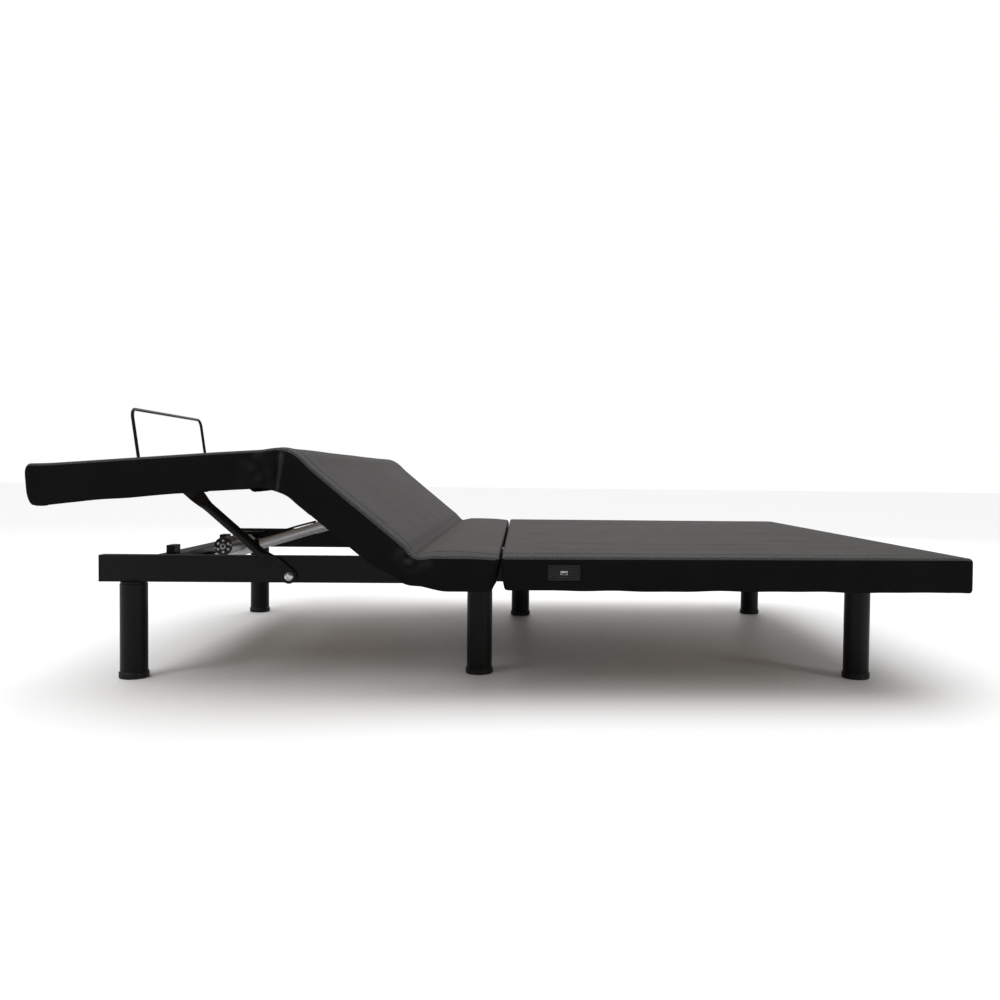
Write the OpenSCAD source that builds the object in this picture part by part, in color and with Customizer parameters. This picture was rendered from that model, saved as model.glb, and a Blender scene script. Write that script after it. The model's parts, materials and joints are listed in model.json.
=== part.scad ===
// Adjustable bed base, queen size, on six legs.
// +X is the head end, -Y is the near side, Z is up. The origin is on the floor,
// under the centre of the base as it stands with the foot end raised.
// Every section is drawn lying flat, then turned about its hinge into the raised pose.

/* [Deck] */
// Width of the deck over its fabric
deck_width = 1524; // [960:2:1930]
// Length of the head section, from its seam to its end
head_len = 978; // [700:1:1100]
// Length of the fixed seat section, from the hip hinge to the seam
seat_len = 180; // [140:1:300]
// Length of the thigh section, from hip hinge to knee hinge
thigh_len = 330; // [280:1:420]
// Length of the calf section, from the knee hinge to its foot end
calf_len = 500; // [460:1:600]
// Height of the flat deck's top above the floor
deck_top = 306; // [280:1:360]
// Depth of the sections from deck top to hem
section_depth = 76; // [70:1:100]
// Thickness of the foam and fabric on top of a board
pad_t = 9; // [5:0.5:20]
// Thickness of the deck boards
board_t = 15; // [12:1:18]
// Thickness of the fascia boards behind the skirts
fascia_t = 12; // [9:1:18]
// Thickness of the skirt fabric and its backing
skirt_t = 4; // [2:0.5:6]

/* [Raised pose] */
// Slope of the thigh section
thigh_angle = 39.5; // [20:0.5:42]
// Fall of the calf section towards its foot end
calf_fall = 4.5; // [0:0.5:8]
// Largest slope of the head section
head_max_angle = 60; // [40:1:65]

/* [Hinges] */
// Depth of the hip and knee hinge pins below the deck top
hinge_depth = 34; // [32:0.5:40]
// Depth of the head hinge pins below the deck top
head_hinge_depth = 18; // [17.5:0.5:20]
// Radius of the hip and knee pins
hinge_pin_r = 6; // [4:0.5:7]
// Radius of the head hinge pins
head_pin_r = 5; // [4:0.5:6]
// Radial clearance of every turning or sliding fit
fit_gap = 0.06; // [0.02:0.01:0.1]

/* [Frame] */
// Height of the foot rails' top above the floor
rail_top = 278; // [260:1:300]
// Height of the foot rail tube
rail_h = 60; // [50:1:70]
// Width of the foot rail tube
rail_w = 30; // [25:1:40]
// Height of the head rail tube, which slides into the foot rail
slim_rail_h = 50; // [40:1:54]
// Width of the head rail tube
slim_rail_w = 25; // [20:1:25]
// Wall of every frame tube
wall = 2; // [1.5:0.25:2.5]
// Distance between the rails' centre lines
rail_spacing = 1007; // [800:1:1200]
// Distance from the head end of the deck to the frame's foot end
frame_reach = 1880; // [1800:1:1900]
// Distance from the head end of the deck to the frame's head end
frame_inset = 100; // [60:1:140]
// Distance from the seam to the foot rail's open end
rail_split_back = 30; // [20:1:40]
// Length of head rail inside the foot rail
rail_lap = 120; // [80:1:160]

/* [Legs] */
// Height of the leg's mounting face above the floor
leg_h = 213; // [150:1:230]
// Outer radius of the leg tube
leg_r = 29.5; // [25:0.5:32]
// Distance from the frame's foot end to the foot legs
foot_leg_inset = 71.5; // [60:0.5:120]
// Distance from the head end of the deck to the head legs
head_leg_inset = 147; // [120:1:200]
// Distance of the two middle legs from the bed's centre line
mid_leg_y = 452; // [400:1:460]
// Distance of the near middle leg from the seam, towards the foot
mid_leg_near = 54; // [45:1:70]
// Distance of the far middle leg from the seam, towards the head
mid_leg_far = 43; // [20:1:80]
// Radius of the plastic glide
glide_r = 32; // [31:0.5:36]
// Height of the plastic glide
glide_h = 15; // [12:1:20]

/* [Support links] */
// Distance from the hip hinge to the link's pivot on the rail
link_pivot_back = 300; // [280:1:320]
// Height of the link's pivot on the rail
link_pivot_z = 233; // [230:0.5:240]
// Distance from the knee hinge to the link pin on the calf section
link_pin_back = 281.8; // [278:0.1:285]
// Depth of that pin below the knee hinge
link_pin_drop = 19.6; // [18:0.1:21]
// Radius of the link tube
link_r = 11; // [9:0.5:12]
// Width of the link's flattened ends
link_tab_w = 34; // [30:1:36]

/* [Drives] */
// Distance from the hip hinge to the foot drive's rear pin
foot_drive_back = 634; // [620:1:640]
// Height of the foot drive's rear pin
foot_drive_z = 226; // [222:1:230]
// Distance from the hip hinge to the foot drive's front pin along the thigh
foot_lug_back = 183; // [170:1:195]
// Depth of that pin below the hip hinge
foot_lug_drop = 20; // [18:1:24]
// Distance from the seam to the head drive's rear pin
head_drive_back = 249; // [245:1:255]
// Height of the head drive's rear pin
head_drive_z = 195; // [190:1:200]
// Length of the lever that lifts the head section
head_lever = 80; // [70:1:85]
// Angle of that lever from the vertical when the head is flat
head_lever_lag = 10; // [5:1:15]
// Radius of a drive's outer tube
drive_tube_r = 14.25; // [13:0.25:16]
// Radius of a drive's push rod
drive_rod_r = 10; // [8:0.5:11]

/* [Retainer bar] */
// Width of the retainer bar between wire centres
retainer_w = 498; // [400:1:700]
// Height of the retainer bar above the deck
retainer_h = 146; // [100:1:180]
// Lean of the bar out from the calf section's upright
retainer_lean = 3.4; // [0:0.1:6]
// Distance from the foot end to the bar's wires
retainer_inset = 16; // [15:0.5:20]
// Radius of the wire
wire_r = 4; // [3:0.5:5]

/* [Hidden] */

$fn = 48;
side = [-1, 1];

// Length of the base as it stands, from the retainer bar's top to the head end
retainer_tilt = calf_fall + retainer_lean;
foot_reach = thigh_len * cos(thigh_angle) + (calf_len - retainer_inset) * cos(calf_fall)
    + hinge_depth * sin(calf_fall) + retainer_h * sin(retainer_tilt) + wire_r;
rest_len = head_len + seat_len + foot_reach;

// Stations along the bed
head_end = rest_len / 2;
seam_x = head_end - head_len;
hip_x = seam_x - seat_len;
knee_x = hip_x - thigh_len;
foot_x = knee_x - calf_len;
frame_foot = head_end - frame_reach;
frame_head = head_end - frame_inset;
rail_split = seam_x - rail_split_back;
foot_leg_x = frame_foot + foot_leg_inset;
head_leg_x = head_end - head_leg_inset;

// Heights of the flat deck
board_top = deck_top - pad_t;
board_bottom = board_top - board_t;
hem = deck_top - section_depth;
fascia_bottom = hem + 3;
hinge_z = deck_top - hinge_depth;
head_hinge_z = deck_top - head_hinge_depth;
slim_bottom = rail_top - rail_h / 2 - slim_rail_h / 2;

// Distances from the centre line
cover_y = deck_width / 2;
board_y = cover_y - skirt_t;
rail_y = rail_spacing / 2;
rail_inner_y = rail_y - rail_w / 2;
rail_outer_y = rail_y + rail_w / 2;
bracket_y = 457;
bracket_t = 6;
thigh_tube_y = 425;
calf_tube_y = 393;
head_tube_y = 419;
section_tube = [30, 20];
arm_y = head_tube_y + section_tube[0];
tab_y = rail_outer_y + 2;
tab_t = 5;

// Half gap left between two sections that meet at a hinge
hinge_gap = 0.8;
knee_bend = thigh_angle + calf_fall;

// Points of the flat sections carried into the raised pose, as [x, z]
function turn(p, c, a) = [
    c[0] + (p[0] - c[0]) * cos(a) + (p[1] - c[1]) * sin(a),
    c[1] - (p[0] - c[0]) * sin(a) + (p[1] - c[1]) * cos(a)];
hip = [hip_x, hinge_z];
knee = [knee_x, hinge_z];
function on_thigh(p) = turn(p, hip, thigh_angle);
function on_calf(p) = on_thigh(turn(p, knee, -knee_bend));

// Support link between the rail and the calf section
link_pivot = [hip_x - link_pivot_back, link_pivot_z];
link_pin_flat = [knee_x - link_pin_back, hinge_z - link_pin_drop];
link_pin = on_calf(link_pin_flat);
link_len = norm(link_pin - link_pivot);
link_angle = atan2(link_pin[1] - link_pivot[1], link_pivot[0] - link_pin[0]);
link_hole_r = 8;
link_bolt_r = 4;

// Foot drive between the foot cross tube and the thigh section
foot_drive_pin = [hip_x - foot_drive_back, foot_drive_z];
foot_lug_flat = [hip_x - foot_lug_back, hinge_z - foot_lug_drop];
foot_lug = on_thigh(foot_lug_flat);
foot_drive_len = norm(foot_lug - foot_drive_pin);
foot_drive_angle = atan2(foot_lug[1] - foot_drive_pin[1], foot_lug[0] - foot_drive_pin[0]);

// Head drive between the drive cross tube and the head section's lever
head_drive_pin = [seam_x - head_drive_back, head_drive_z];
head_lug = [seam_x - head_lever * sin(head_lever_lag), head_hinge_z - head_lever * cos(head_lever_lag)];
head_drive_len = norm(head_lug - head_drive_pin);
head_drive_angle = atan2(head_lug[1] - head_drive_pin[1], head_lug[0] - head_drive_pin[0]);

// Drive proportions along the push axis
drive_pin_r = 5;
gearbox_back = 12;
gearbox_len = 118;
gearbox_half_w = 22;
motor_x = 86;
motor_rise = 21;
motor_r = 23;
motor_len = 148;
collar_len = 30;
eye_half_w = 11;
lug_y = 14;
lug_t = 6;

// Colours
powder = [0.08, 0.08, 0.085];
fabric = [0.2, 0.19, 0.19];
timber = [0.72, 0.58, 0.4];
silver = [0.72, 0.73, 0.75];
plastic = [0.06, 0.06, 0.06];
rubber = [0.12, 0.12, 0.12];

// ---------- helpers ----------

module box(x0, x1, y0, y1, z0, z1) {
    translate([min(x0, x1), min(y0, y1), min(z0, z1)])
        cube([abs(x1 - x0), abs(y1 - y0), abs(z1 - z0)]);
}

// A drawing in the XZ plane, given thickness from y0 to y1
module plate_y(y0, y1) {
    translate([0, max(y0, y1), 0])
        rotate([90, 0, 0])
            linear_extrude(abs(y1 - y0))
                children();
}

// A round bar along Y at a point [x, z]
module bar_y(p, r, y0, y1) {
    translate([p[0], min(y0, y1), p[1]])
        rotate([-90, 0, 0])
            cylinder(r = r, h = abs(y1 - y0));
}

module tube_x(x0, x1, y, z0, w, h) {
    difference() {
        box(x0, x1, y - w / 2, y + w / 2, z0, z0 + h);
        box(x0 - 1, x1 + 1, y - w / 2 + wall, y + w / 2 - wall, z0 + wall, z0 + h - wall);
    }
}

module tube_y(x, w, z0, h, half) {
    difference() {
        box(x - w / 2, x + w / 2, -half, half, z0, z0 + h);
        box(x - w / 2 + wall, x + w / 2 - wall, -half - 1, half + 1, z0 + wall, z0 + h - wall);
    }
}

module hex_head_y(p, r, y0, y1) {
    translate([p[0], min(y0, y1), p[1]])
        rotate([-90, 0, 0])
            cylinder(r = r, h = abs(y1 - y0), $fn = 6);
}

module thigh_pose() {
    translate([hip_x, 0, hinge_z])
        rotate([0, thigh_angle, 0])
            translate([-hip_x, 0, -hinge_z])
                children();
}

module calf_pose() {
    thigh_pose()
        translate([knee_x, 0, hinge_z])
            rotate([0, -knee_bend, 0])
                translate([-knee_x, 0, -hinge_z])
                    children();
}

// ---------- section outlines, flat, in the XZ plane ----------

// A fold that closes on top leans back above its hinge; one that closes below leans back under it
fold_hip = tan(thigh_angle / 2);
fold_knee = tan(knee_bend / 2);
fold_head = tan(head_max_angle / 2);

module head_outline() {
    polygon([
        [seam_x + hinge_gap, hem], [seam_x + hinge_gap, head_hinge_z],
        [seam_x + hinge_gap + head_hinge_depth * fold_head, deck_top],
        [head_end, deck_top], [head_end, hem]]);
}

module seat_outline() {
    polygon([
        [hip_x + hinge_gap, hem], [hip_x + hinge_gap, hinge_z],
        [hip_x + hinge_gap + hinge_depth * fold_hip, deck_top],
        [seam_x - hinge_gap - head_hinge_depth * fold_head, deck_top],
        [seam_x - hinge_gap, head_hinge_z], [seam_x - hinge_gap, hem]]);
}

module thigh_outline() {
    below = hinge_z - hem;
    polygon([
        [knee_x + hinge_gap + below * fold_knee, hem], [knee_x + hinge_gap, hinge_z],
        [knee_x + hinge_gap, deck_top],
        [hip_x - hinge_gap - hinge_depth * fold_hip, deck_top],
        [hip_x - hinge_gap, hinge_z], [hip_x - hinge_gap, hem]]);
}

module calf_outline() {
    below = hinge_z - hem;
    polygon([
        [foot_x, hem], [foot_x, deck_top],
        [knee_x - hinge_gap, deck_top], [knee_x - hinge_gap, hinge_z],
        [knee_x - hinge_gap - below * fold_knee, hem]]);
}

// The part of an outline between two heights and two stations
module cut_outline(x0, x1, z0, z1) {
    intersection() {
        children();
        translate([x0, z0])
            square([x1 - x0, z1 - z0]);
    }
}

module board(x0, x1) {
    plate_y(-board_y, board_y)
        cut_outline(x0, x1, board_bottom, board_top)
            children();
}

module side_fascias(x0, x1) {
    for (s = side)
        plate_y(s * (board_y - fascia_t), s * board_y)
            cut_outline(x0, x1, fascia_bottom, board_bottom)
                children();
}

// Top pad and both side skirts
module cover(x0, x1) {
    plate_y(-cover_y, cover_y)
        cut_outline(x0, x1, board_top, deck_top)
            children();
    for (s = side)
        plate_y(s * board_y, s * cover_y)
            cut_outline(x0, x1, hem, board_top)
                children();
}

// ---------- frame ----------

module leg_stud_holes(z0, z1, r) {
    for (s = side)
        for (x = [foot_leg_x, head_leg_x])
            translate([x, s * rail_y, z0])
                cylinder(r = r, h = z1 - z0);
}

stud_r = 5;
bolt_gap = 0.1;
joint_bolt_x = [rail_split - 48, rail_split - 90];
rail_mid_z = rail_top - rail_h / 2;

module foot_rail(s) {
    color(powder)
        difference() {
            tube_x(frame_foot, rail_split, s * rail_y, rail_top - rail_h, rail_w, rail_h);
            bar_y(link_pivot, hinge_pin_r + bolt_gap, s * (rail_inner_y - 1), s * (rail_outer_y + 1));
            for (x = joint_bolt_x)
                bar_y([x, rail_mid_z], stud_r + bolt_gap, s * (rail_inner_y - 1), s * (rail_outer_y + 1));
            leg_stud_holes(rail_top - rail_h - 1, rail_top - rail_h + wall + 1, stud_r + bolt_gap);
        }
}

module head_rail(s) {
    color(powder)
        difference() {
            tube_x(rail_split - rail_lap, frame_head, s * rail_y, slim_bottom, slim_rail_w, slim_rail_h);
            for (x = joint_bolt_x)
                bar_y([x, rail_mid_z], stud_r + bolt_gap, s * (rail_inner_y - 1), s * (rail_outer_y + 1));
            leg_stud_holes(slim_bottom - 1, slim_bottom + wall + 1, stud_r + bolt_gap);
        }
}

module foot_rail_near() { foot_rail(-1); }
module foot_rail_far() { foot_rail(1); }
module head_rail_near() { head_rail(-1); }
module head_rail_far() { head_rail(1); }

// Cross tubes as [centre station, width, bottom, height]
foot_cross = [frame_foot + 48, 50, 220, 36];
drive_cross = [hip_x - 114, 40, 218, 40];
centre_cross = [seam_x + 206, 50, slim_bottom, 25];
head_cross = [frame_head - 25, 50, slim_bottom, 25];
slim_inner_y = rail_y - slim_rail_w / 2;

module cross_tube(c, half) {
    color(powder)
        tube_y(c[0], c[1], c[2], c[3], half);
}

module foot_cross_tube() { cross_tube(foot_cross, rail_inner_y); }
module drive_cross_tube() { cross_tube(drive_cross, rail_inner_y); }
module centre_cross_tube() { cross_tube(centre_cross, slim_inner_y); }
module head_cross_tube() { cross_tube(head_cross, slim_inner_y); }

// Plates welded inside the rails over the corner legs, with one rounded corner
module gusset(x, y_out, s, z) {
    length = 80;
    depth = 52;
    corner = 22;
    translate([x - length / 2, 0, z])
        linear_extrude(5)
            difference() {
                translate([0, min(s * y_out, s * (y_out - depth))])
                    square([length, depth]);
                difference() {
                    translate([length - corner, min(s * (y_out - depth - 1), s * (y_out - depth + corner))])
                        square([corner + 1, corner + 1]);
                    translate([length - corner, s * (y_out - depth + corner)])
                        circle(corner);
                }
            }
}

module corner_gussets() {
    color(powder)
        for (s = side) {
            gusset(frame_foot + 56, rail_inner_y, s, 267);
            gusset(head_leg_x, slim_inner_y, s, 254);
        }
}

module leg_plates() {
    color(powder)
        difference() {
            union() {
                for (s = side) {
                    translate([foot_leg_x, s * rail_y, leg_h])
                        cylinder(r = leg_r - 1.5, h = rail_top - rail_h - leg_h);
                    translate([head_leg_x, s * rail_y, leg_h])
                        cylinder(r = leg_r - 1.5, h = slim_bottom - leg_h);
                }
                mid_plate(seam_x - mid_leg_near, -1, rail_top - rail_h);
                mid_plate(seam_x + mid_leg_far, 1, slim_bottom);
            }
            leg_stud_holes(leg_h - 1, slim_bottom + 1, stud_r + bolt_gap);
            for (p = [[seam_x - mid_leg_near, -mid_leg_y], [seam_x + mid_leg_far, mid_leg_y]])
                translate([p[0], p[1], leg_h - 1])
                    cylinder(r = stud_r + bolt_gap, h = 20);
        }
}

module mid_plate(x, s, top) {
    box(x - 32, x + 32, s * (mid_leg_y - 32), s * (rail_outer_y - 1), leg_h, top);
}

// A leg tube with a welded top disc and stud; it stands in its glide's cup
cup_floor = 4;

module leg(x, y) {
    disc_t = 6;
    color(powder)
        translate([x, y, 0]) {
            difference() {
                translate([0, 0, cup_floor])
                    cylinder(r = leg_r, h = leg_h - cup_floor);
                translate([0, 0, cup_floor - 1])
                    cylinder(r = leg_r - wall, h = leg_h - disc_t - cup_floor + 1);
            }
            translate([0, 0, leg_h])
                cylinder(r = stud_r, h = 24);
        }
}

leg_places = [
    [foot_leg_x, -rail_y], [foot_leg_x, rail_y],
    [seam_x - mid_leg_near, -mid_leg_y], [seam_x + mid_leg_far, mid_leg_y],
    [head_leg_x, -rail_y], [head_leg_x, rail_y]];

module leg_foot_near() { leg(leg_places[0][0], leg_places[0][1]); }
module leg_foot_far() { leg(leg_places[1][0], leg_places[1][1]); }
module leg_mid_near() { leg(leg_places[2][0], leg_places[2][1]); }
module leg_mid_far() { leg(leg_places[3][0], leg_places[3][1]); }
module leg_head_near() { leg(leg_places[4][0], leg_places[4][1]); }
module leg_head_far() { leg(leg_places[5][0], leg_places[5][1]); }

module leg_glides() {
    edge = 2;
    color(plastic)
        for (p = leg_places)
            translate([p[0], p[1], 0])
                rotate_extrude()
                    polygon([
                        [0, 0], [glide_r - edge, 0], [glide_r, edge], [glide_r, glide_h - edge],
                        [glide_r - edge, glide_h], [leg_r, glide_h], [leg_r, cup_floor], [0, cup_floor]]);
}

// Stub posts on the foot cross tube; the lowered calf section rests on their caps
post_y = 208;

module rest_posts() {
    color(rubber)
        for (s = side)
            translate([foot_cross[0] + 2, s * post_y, foot_cross[2] + foot_cross[3]])
                difference() {
                    translate([-10, -22, 0])
                        cube([20, 44, rail_top - foot_cross[2] - foot_cross[3]]);
                    translate([-10 + wall, -22 + wall, -1])
                        cube([20 - 2 * wall, 44 - 2 * wall, rail_top - foot_cross[2] - foot_cross[3] - 5]);
                }
}

// Spacers that carry the seat board, and taller rubber pads under the head section
module rail_pads() {
    slim_top = slim_bottom + slim_rail_h;
    color(rubber)
        for (s = side) {
            for (x = [hip_x + 35, rail_split - 25])
                box(x - 15, x + 15, s * (rail_y - 10), s * (rail_y + 10), rail_top, board_bottom);
            for (x = [seam_x + 120, seam_x + 460, frame_head - 60])
                box(x - 20, x + 20, s * (rail_y - 10), s * (rail_y + 10), slim_top, board_bottom - 0.4);
        }
}

module rail_joint_bolts() {
    color(silver)
        for (s = side)
            for (x = joint_bolt_x) {
                bar_y([x, rail_mid_z], stud_r, s * (rail_inner_y - 8), s * rail_outer_y);
                hex_head_y([x, rail_mid_z], 9, s * rail_outer_y, s * (rail_outer_y + 6));
                hex_head_y([x, rail_mid_z], 9, s * (rail_inner_y - 7), s * rail_inner_y);
            }
}

// Shoulder bolt with a domed socket head; the link turns on its shank
pivot_head_r = 10;

module link_pivot_bolts() {
    head_y = tab_y + tab_t + 0.5;
    color(silver)
        for (s = side) {
            bar_y(link_pivot, hinge_pin_r, s * (rail_inner_y - 10), s * (head_y + 1));
            hex_head_y(link_pivot, 11, s * (rail_inner_y - 8), s * rail_inner_y);
            translate([link_pivot[0], s * head_y, link_pivot[1]])
                rotate([-90 * s, 0, 0])
                    rotate_extrude()
                        difference() {
                            intersection() {
                                translate([0, 6 - 13.6])
                                    circle(r = 13.6, $fn = 64);
                                square([pivot_head_r, 7]);
                            }
                            translate([-1, 2.5])
                                square([4, 10]);
                        }
        }
}

// ---------- seat section, fixed to the frame ----------

// Room in the boards for the head hinge plates
module hinge_notches() {
    for (s = side)
        box(seam_x - 16, seam_x + 16, s * 440, s * 468, board_bottom - 1, board_top + 1);
}

module seat_board() {
    color(timber)
        difference() {
            board(hip_x, seam_x)
                seat_outline();
            hinge_notches();
        }
}

module seat_fascias() {
    color(timber)
        side_fascias(hip_x, seam_x)
            seat_outline();
}

module seat_cover() {
    color(fabric)
        cover(hip_x, seam_x)
            seat_outline();
}

module seat_hinge_brackets() {
    color(powder)
        for (s = side) {
            difference() {
                union() {
                    plate_y(s * bracket_y, s * (bracket_y + bracket_t)) {
                        translate(hip)
                            circle(10);
                        translate([hip_x, 240])
                            square([60, 22]);
                        translate([hip_x, 250])
                            square([10, hinge_z - 250]);
                    }
                    box(hip_x + 14, hip_x + 46, s * (bracket_y + bracket_t), s * rail_inner_y, 240, 262);
                }
                bar_y(hip, hinge_pin_r + fit_gap, s * (bracket_y - 1), s * (bracket_y + bracket_t + 1));
            }
            difference() {
                union() {
                    plate_y(s * bracket_y, s * (bracket_y + bracket_t)) {
                        translate([seam_x, head_hinge_z])
                            circle(8.5);
                        polygon([
                            [seam_x - 8.5, head_hinge_z], [seam_x + 8.5, head_hinge_z],
                            [seam_x + 8.5, 262], [seam_x - 12, 240], [seam_x - 70, 240],
                            [seam_x - 70, 262], [seam_x - 24, 276], [seam_x - 8.5, 280]]);
                    }
                    box(seam_x - 64, seam_x - 34, s * (bracket_y + bracket_t), s * rail_inner_y, 240, 262);
                }
                bar_y([seam_x, head_hinge_z], head_pin_r + fit_gap,
                    s * (bracket_y - 1), s * (bracket_y + bracket_t + 1));
            }
        }
}

// ---------- drives ----------

// Clevis brackets that hold the drives' rear pins, welded to the cross tubes
module drive_bracket(tube_face, pin, low, high) {
    difference() {
        for (s = side)
            plate_y(s * lug_y, s * (lug_y + lug_t)) {
                translate(pin)
                    circle(12);
                translate([tube_face, low])
                    square([pin[0] - tube_face, high - low]);
            }
        bar_y(pin, drive_pin_r, -lug_y - lug_t - 1, lug_y + lug_t + 1);
    }
    bar_y(pin, drive_pin_r, -lug_y - lug_t - 2, lug_y + lug_t + 2);
}

module drive_brackets() {
    color(powder) {
        drive_bracket(foot_cross[0] + foot_cross[1] / 2, foot_drive_pin, foot_drive_z - 6, foot_drive_z + 16);
        drive_bracket(drive_cross[0] + drive_cross[1] / 2, head_drive_pin, head_drive_z, head_drive_z + 34);
    }
}

// A drive is drawn along +X from its rear pin, then turned up by its angle
module drive_pose(pin, angle) {
    translate([pin[0], 0, pin[1]])
        rotate([0, -angle, 0])
            children();
}

module gearbox() {
    color(plastic)
        difference() {
            union() {
                bar_y([0, 0], 11, -lug_y + 0.5, lug_y - 0.5);
                box(0, 34, -lug_y + 0.5, lug_y - 0.5, -11, 11);
                plate_y(-gearbox_half_w, gearbox_half_w)
                    polygon([
                        [30, -16], [gearbox_len, -16], [gearbox_len, 16], [gearbox_len - 12, 38],
                        [gearbox_len - 20, 42], [44, 42], [34, 34], [30, 16]]);
            }
            bar_y([0, 0], drive_pin_r + fit_gap, -lug_y, lug_y);
        }
}

module motor() {
    y0 = -gearbox_half_w;
    color(silver) {
        bar_y([motor_x, motor_rise], motor_r - 4, y0 - 6, y0);
        bar_y([motor_x, motor_rise], motor_r, y0 - motor_len, y0 - 6);
        bar_y([motor_x, motor_rise], 9, y0 - motor_len - 3, y0 - motor_len);
    }
}

module drive_tube(tube_end) {
    color(silver)
        difference() {
            union() {
                rotate([0, 90, 0])
                    cylinder(r = drive_tube_r, h = tube_end);
                translate([tube_end, 0, 0])
                    rotate([0, 90, 0])
                        cylinder(r = drive_tube_r + 2, h = collar_len);
            }
            translate([-1, 0, 0])
                rotate([0, 90, 0])
                    cylinder(r = drive_tube_r + 5, h = gearbox_len + 1);
            translate([-2, 0, 0])
                rotate([0, 90, 0])
                    cylinder(r = drive_rod_r + 1.5, h = tube_end + 2);
            translate([tube_end - 1, 0, 0])
                rotate([0, 90, 0])
                    cylinder(r = drive_rod_r + fit_gap, h = collar_len + 2);
        }
}

// Push rod with a flat eye; its cross pin ends short of the lugs beside it
module drive_rod(start, end) {
    color(silver)
        difference() {
            union() {
                translate([start, 0, 0])
                    rotate([0, 90, 0])
                        cylinder(r = drive_rod_r, h = end - start - 8);
                bar_y([end, 0], 11, -eye_half_w, eye_half_w);
            }
            bar_y([end, 0], drive_pin_r, -eye_half_w - 1, eye_half_w + 1);
        }
    color(silver)
        bar_y([end, 0], drive_pin_r, -eye_half_w - 1.5, eye_half_w + 1.5);
}

foot_tube_end = 298;
head_tube_end = 188;

module foot_gearbox() { drive_pose(foot_drive_pin, foot_drive_angle) gearbox(); }
module foot_motor() { drive_pose(foot_drive_pin, foot_drive_angle) motor(); }
module foot_drive_tube() { drive_pose(foot_drive_pin, foot_drive_angle) drive_tube(foot_tube_end); }
module foot_drive_rod() {
    drive_pose(foot_drive_pin, foot_drive_angle)
        drive_rod(gearbox_len + 60, foot_drive_len);
}

module head_gearbox() { drive_pose(head_drive_pin, head_drive_angle) gearbox(); }
module head_motor() { drive_pose(head_drive_pin, head_drive_angle) motor(); }
module head_drive_tube() { drive_pose(head_drive_pin, head_drive_angle) drive_tube(head_tube_end); }
module head_drive_rod() {
    drive_pose(head_drive_pin, head_drive_angle)
        drive_rod(gearbox_len + 2, head_drive_len);
}

// ---------- power ----------

box_x = centre_cross[0];

module control_box() {
    color(plastic)
        difference() {
            union() {
                box(box_x - 60, box_x + 60, -100, 100, slim_bottom - 40, slim_bottom);
                box(box_x - 60, box_x + 60, -118, 118, slim_bottom - 4, slim_bottom);
            }
            box(box_x + 40, box_x + 61, -70, -40, slim_bottom - 32, slim_bottom - 8);
        }
}

module power_inlet() {
    color(plastic) {
        difference() {
            box(box_x + 40, box_x + 62, -70, -40, slim_bottom - 32, slim_bottom - 8);
            box(box_x + 46, box_x + 63, -67, -43, slim_bottom - 29, slim_bottom - 11);
        }
        for (y = [-62, -55, -48])
            box(box_x + 46, box_x + 58, y - 1, y + 1, slim_bottom - 23, slim_bottom - 17);
    }
}

// ---------- head section ----------

usb_x = seam_x + 129;
usb_z = 270;
usb_size = [66, 31];

module head_board() {
    color(timber)
        difference() {
            board(seam_x, head_end - skirt_t)
                head_outline();
            hinge_notches();
        }
}

module head_fascias() {
    color(timber)
        difference() {
            union() {
                side_fascias(seam_x, head_end - skirt_t)
                    head_outline();
                box(head_end - skirt_t - fascia_t, head_end - skirt_t,
                    -board_y + fascia_t, board_y - fascia_t, fascia_bottom, board_bottom);
            }
            usb_cutouts();
        }
}

module usb_cutouts() {
    half = usb_size / 2 - [3, 3];
    for (s = side)
        box(usb_x - half[0], usb_x + half[0], s * 700, s * 780, usb_z - half[1], min(usb_z + half[1], board_bottom));
}

module head_cover() {
    color(fabric)
        difference() {
            union() {
                cover(seam_x, head_end)
                    head_outline();
                box(head_end - skirt_t, head_end, -board_y, board_y, hem, board_top);
            }
            usb_cutouts();
        }
}

module head_frame_tubes() {
    color(powder)
        for (s = side)
            tube_x(seam_x + 26, head_end - 60, s * (head_tube_y + section_tube[0] / 2),
                board_bottom - section_tube[1], section_tube[0], section_tube[1]);
}

// Cross tube with the two lugs that the head drive pushes
module head_lift_bar() {
    tube_mid = seam_x + 52;
    color(powder) {
        tube_y(tube_mid, 30, board_bottom - section_tube[1], section_tube[1], head_tube_y);
        difference() {
            for (s = side)
                plate_y(s * lug_y, s * (lug_y + lug_t)) {
                    translate(head_lug)
                        circle(12);
                    polygon([
                        head_lug + [-11.5, 3.5], head_lug + [4, -11.3],
                        [tube_mid + 15, board_bottom - section_tube[1]],
                        [tube_mid - 15, board_bottom - section_tube[1]]]);
                }
            bar_y(head_lug, drive_pin_r, -lug_y - lug_t - 1, lug_y + lug_t + 1);
        }
        for (s = side)
            hex_head_y(head_lug, 8, s * (lug_y + lug_t), s * (lug_y + lug_t + 5));
    }
}

module head_hinge_arms() {
    color(powder)
        for (s = side)
            difference() {
                plate_y(s * arm_y, s * (arm_y + bracket_t)) {
                    translate([seam_x, head_hinge_z])
                        circle(8.5);
                    polygon([
                        [seam_x - 4, head_hinge_z - 5], [seam_x + 20, 263], [seam_x + 110, 263],
                        [seam_x + 110, 281], [seam_x + 15, 281], [seam_x + 5, head_hinge_z + 4]]);
                }
                bar_y([seam_x, head_hinge_z], head_pin_r, s * (arm_y - 1), s * (arm_y + bracket_t + 1));
            }
}

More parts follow.
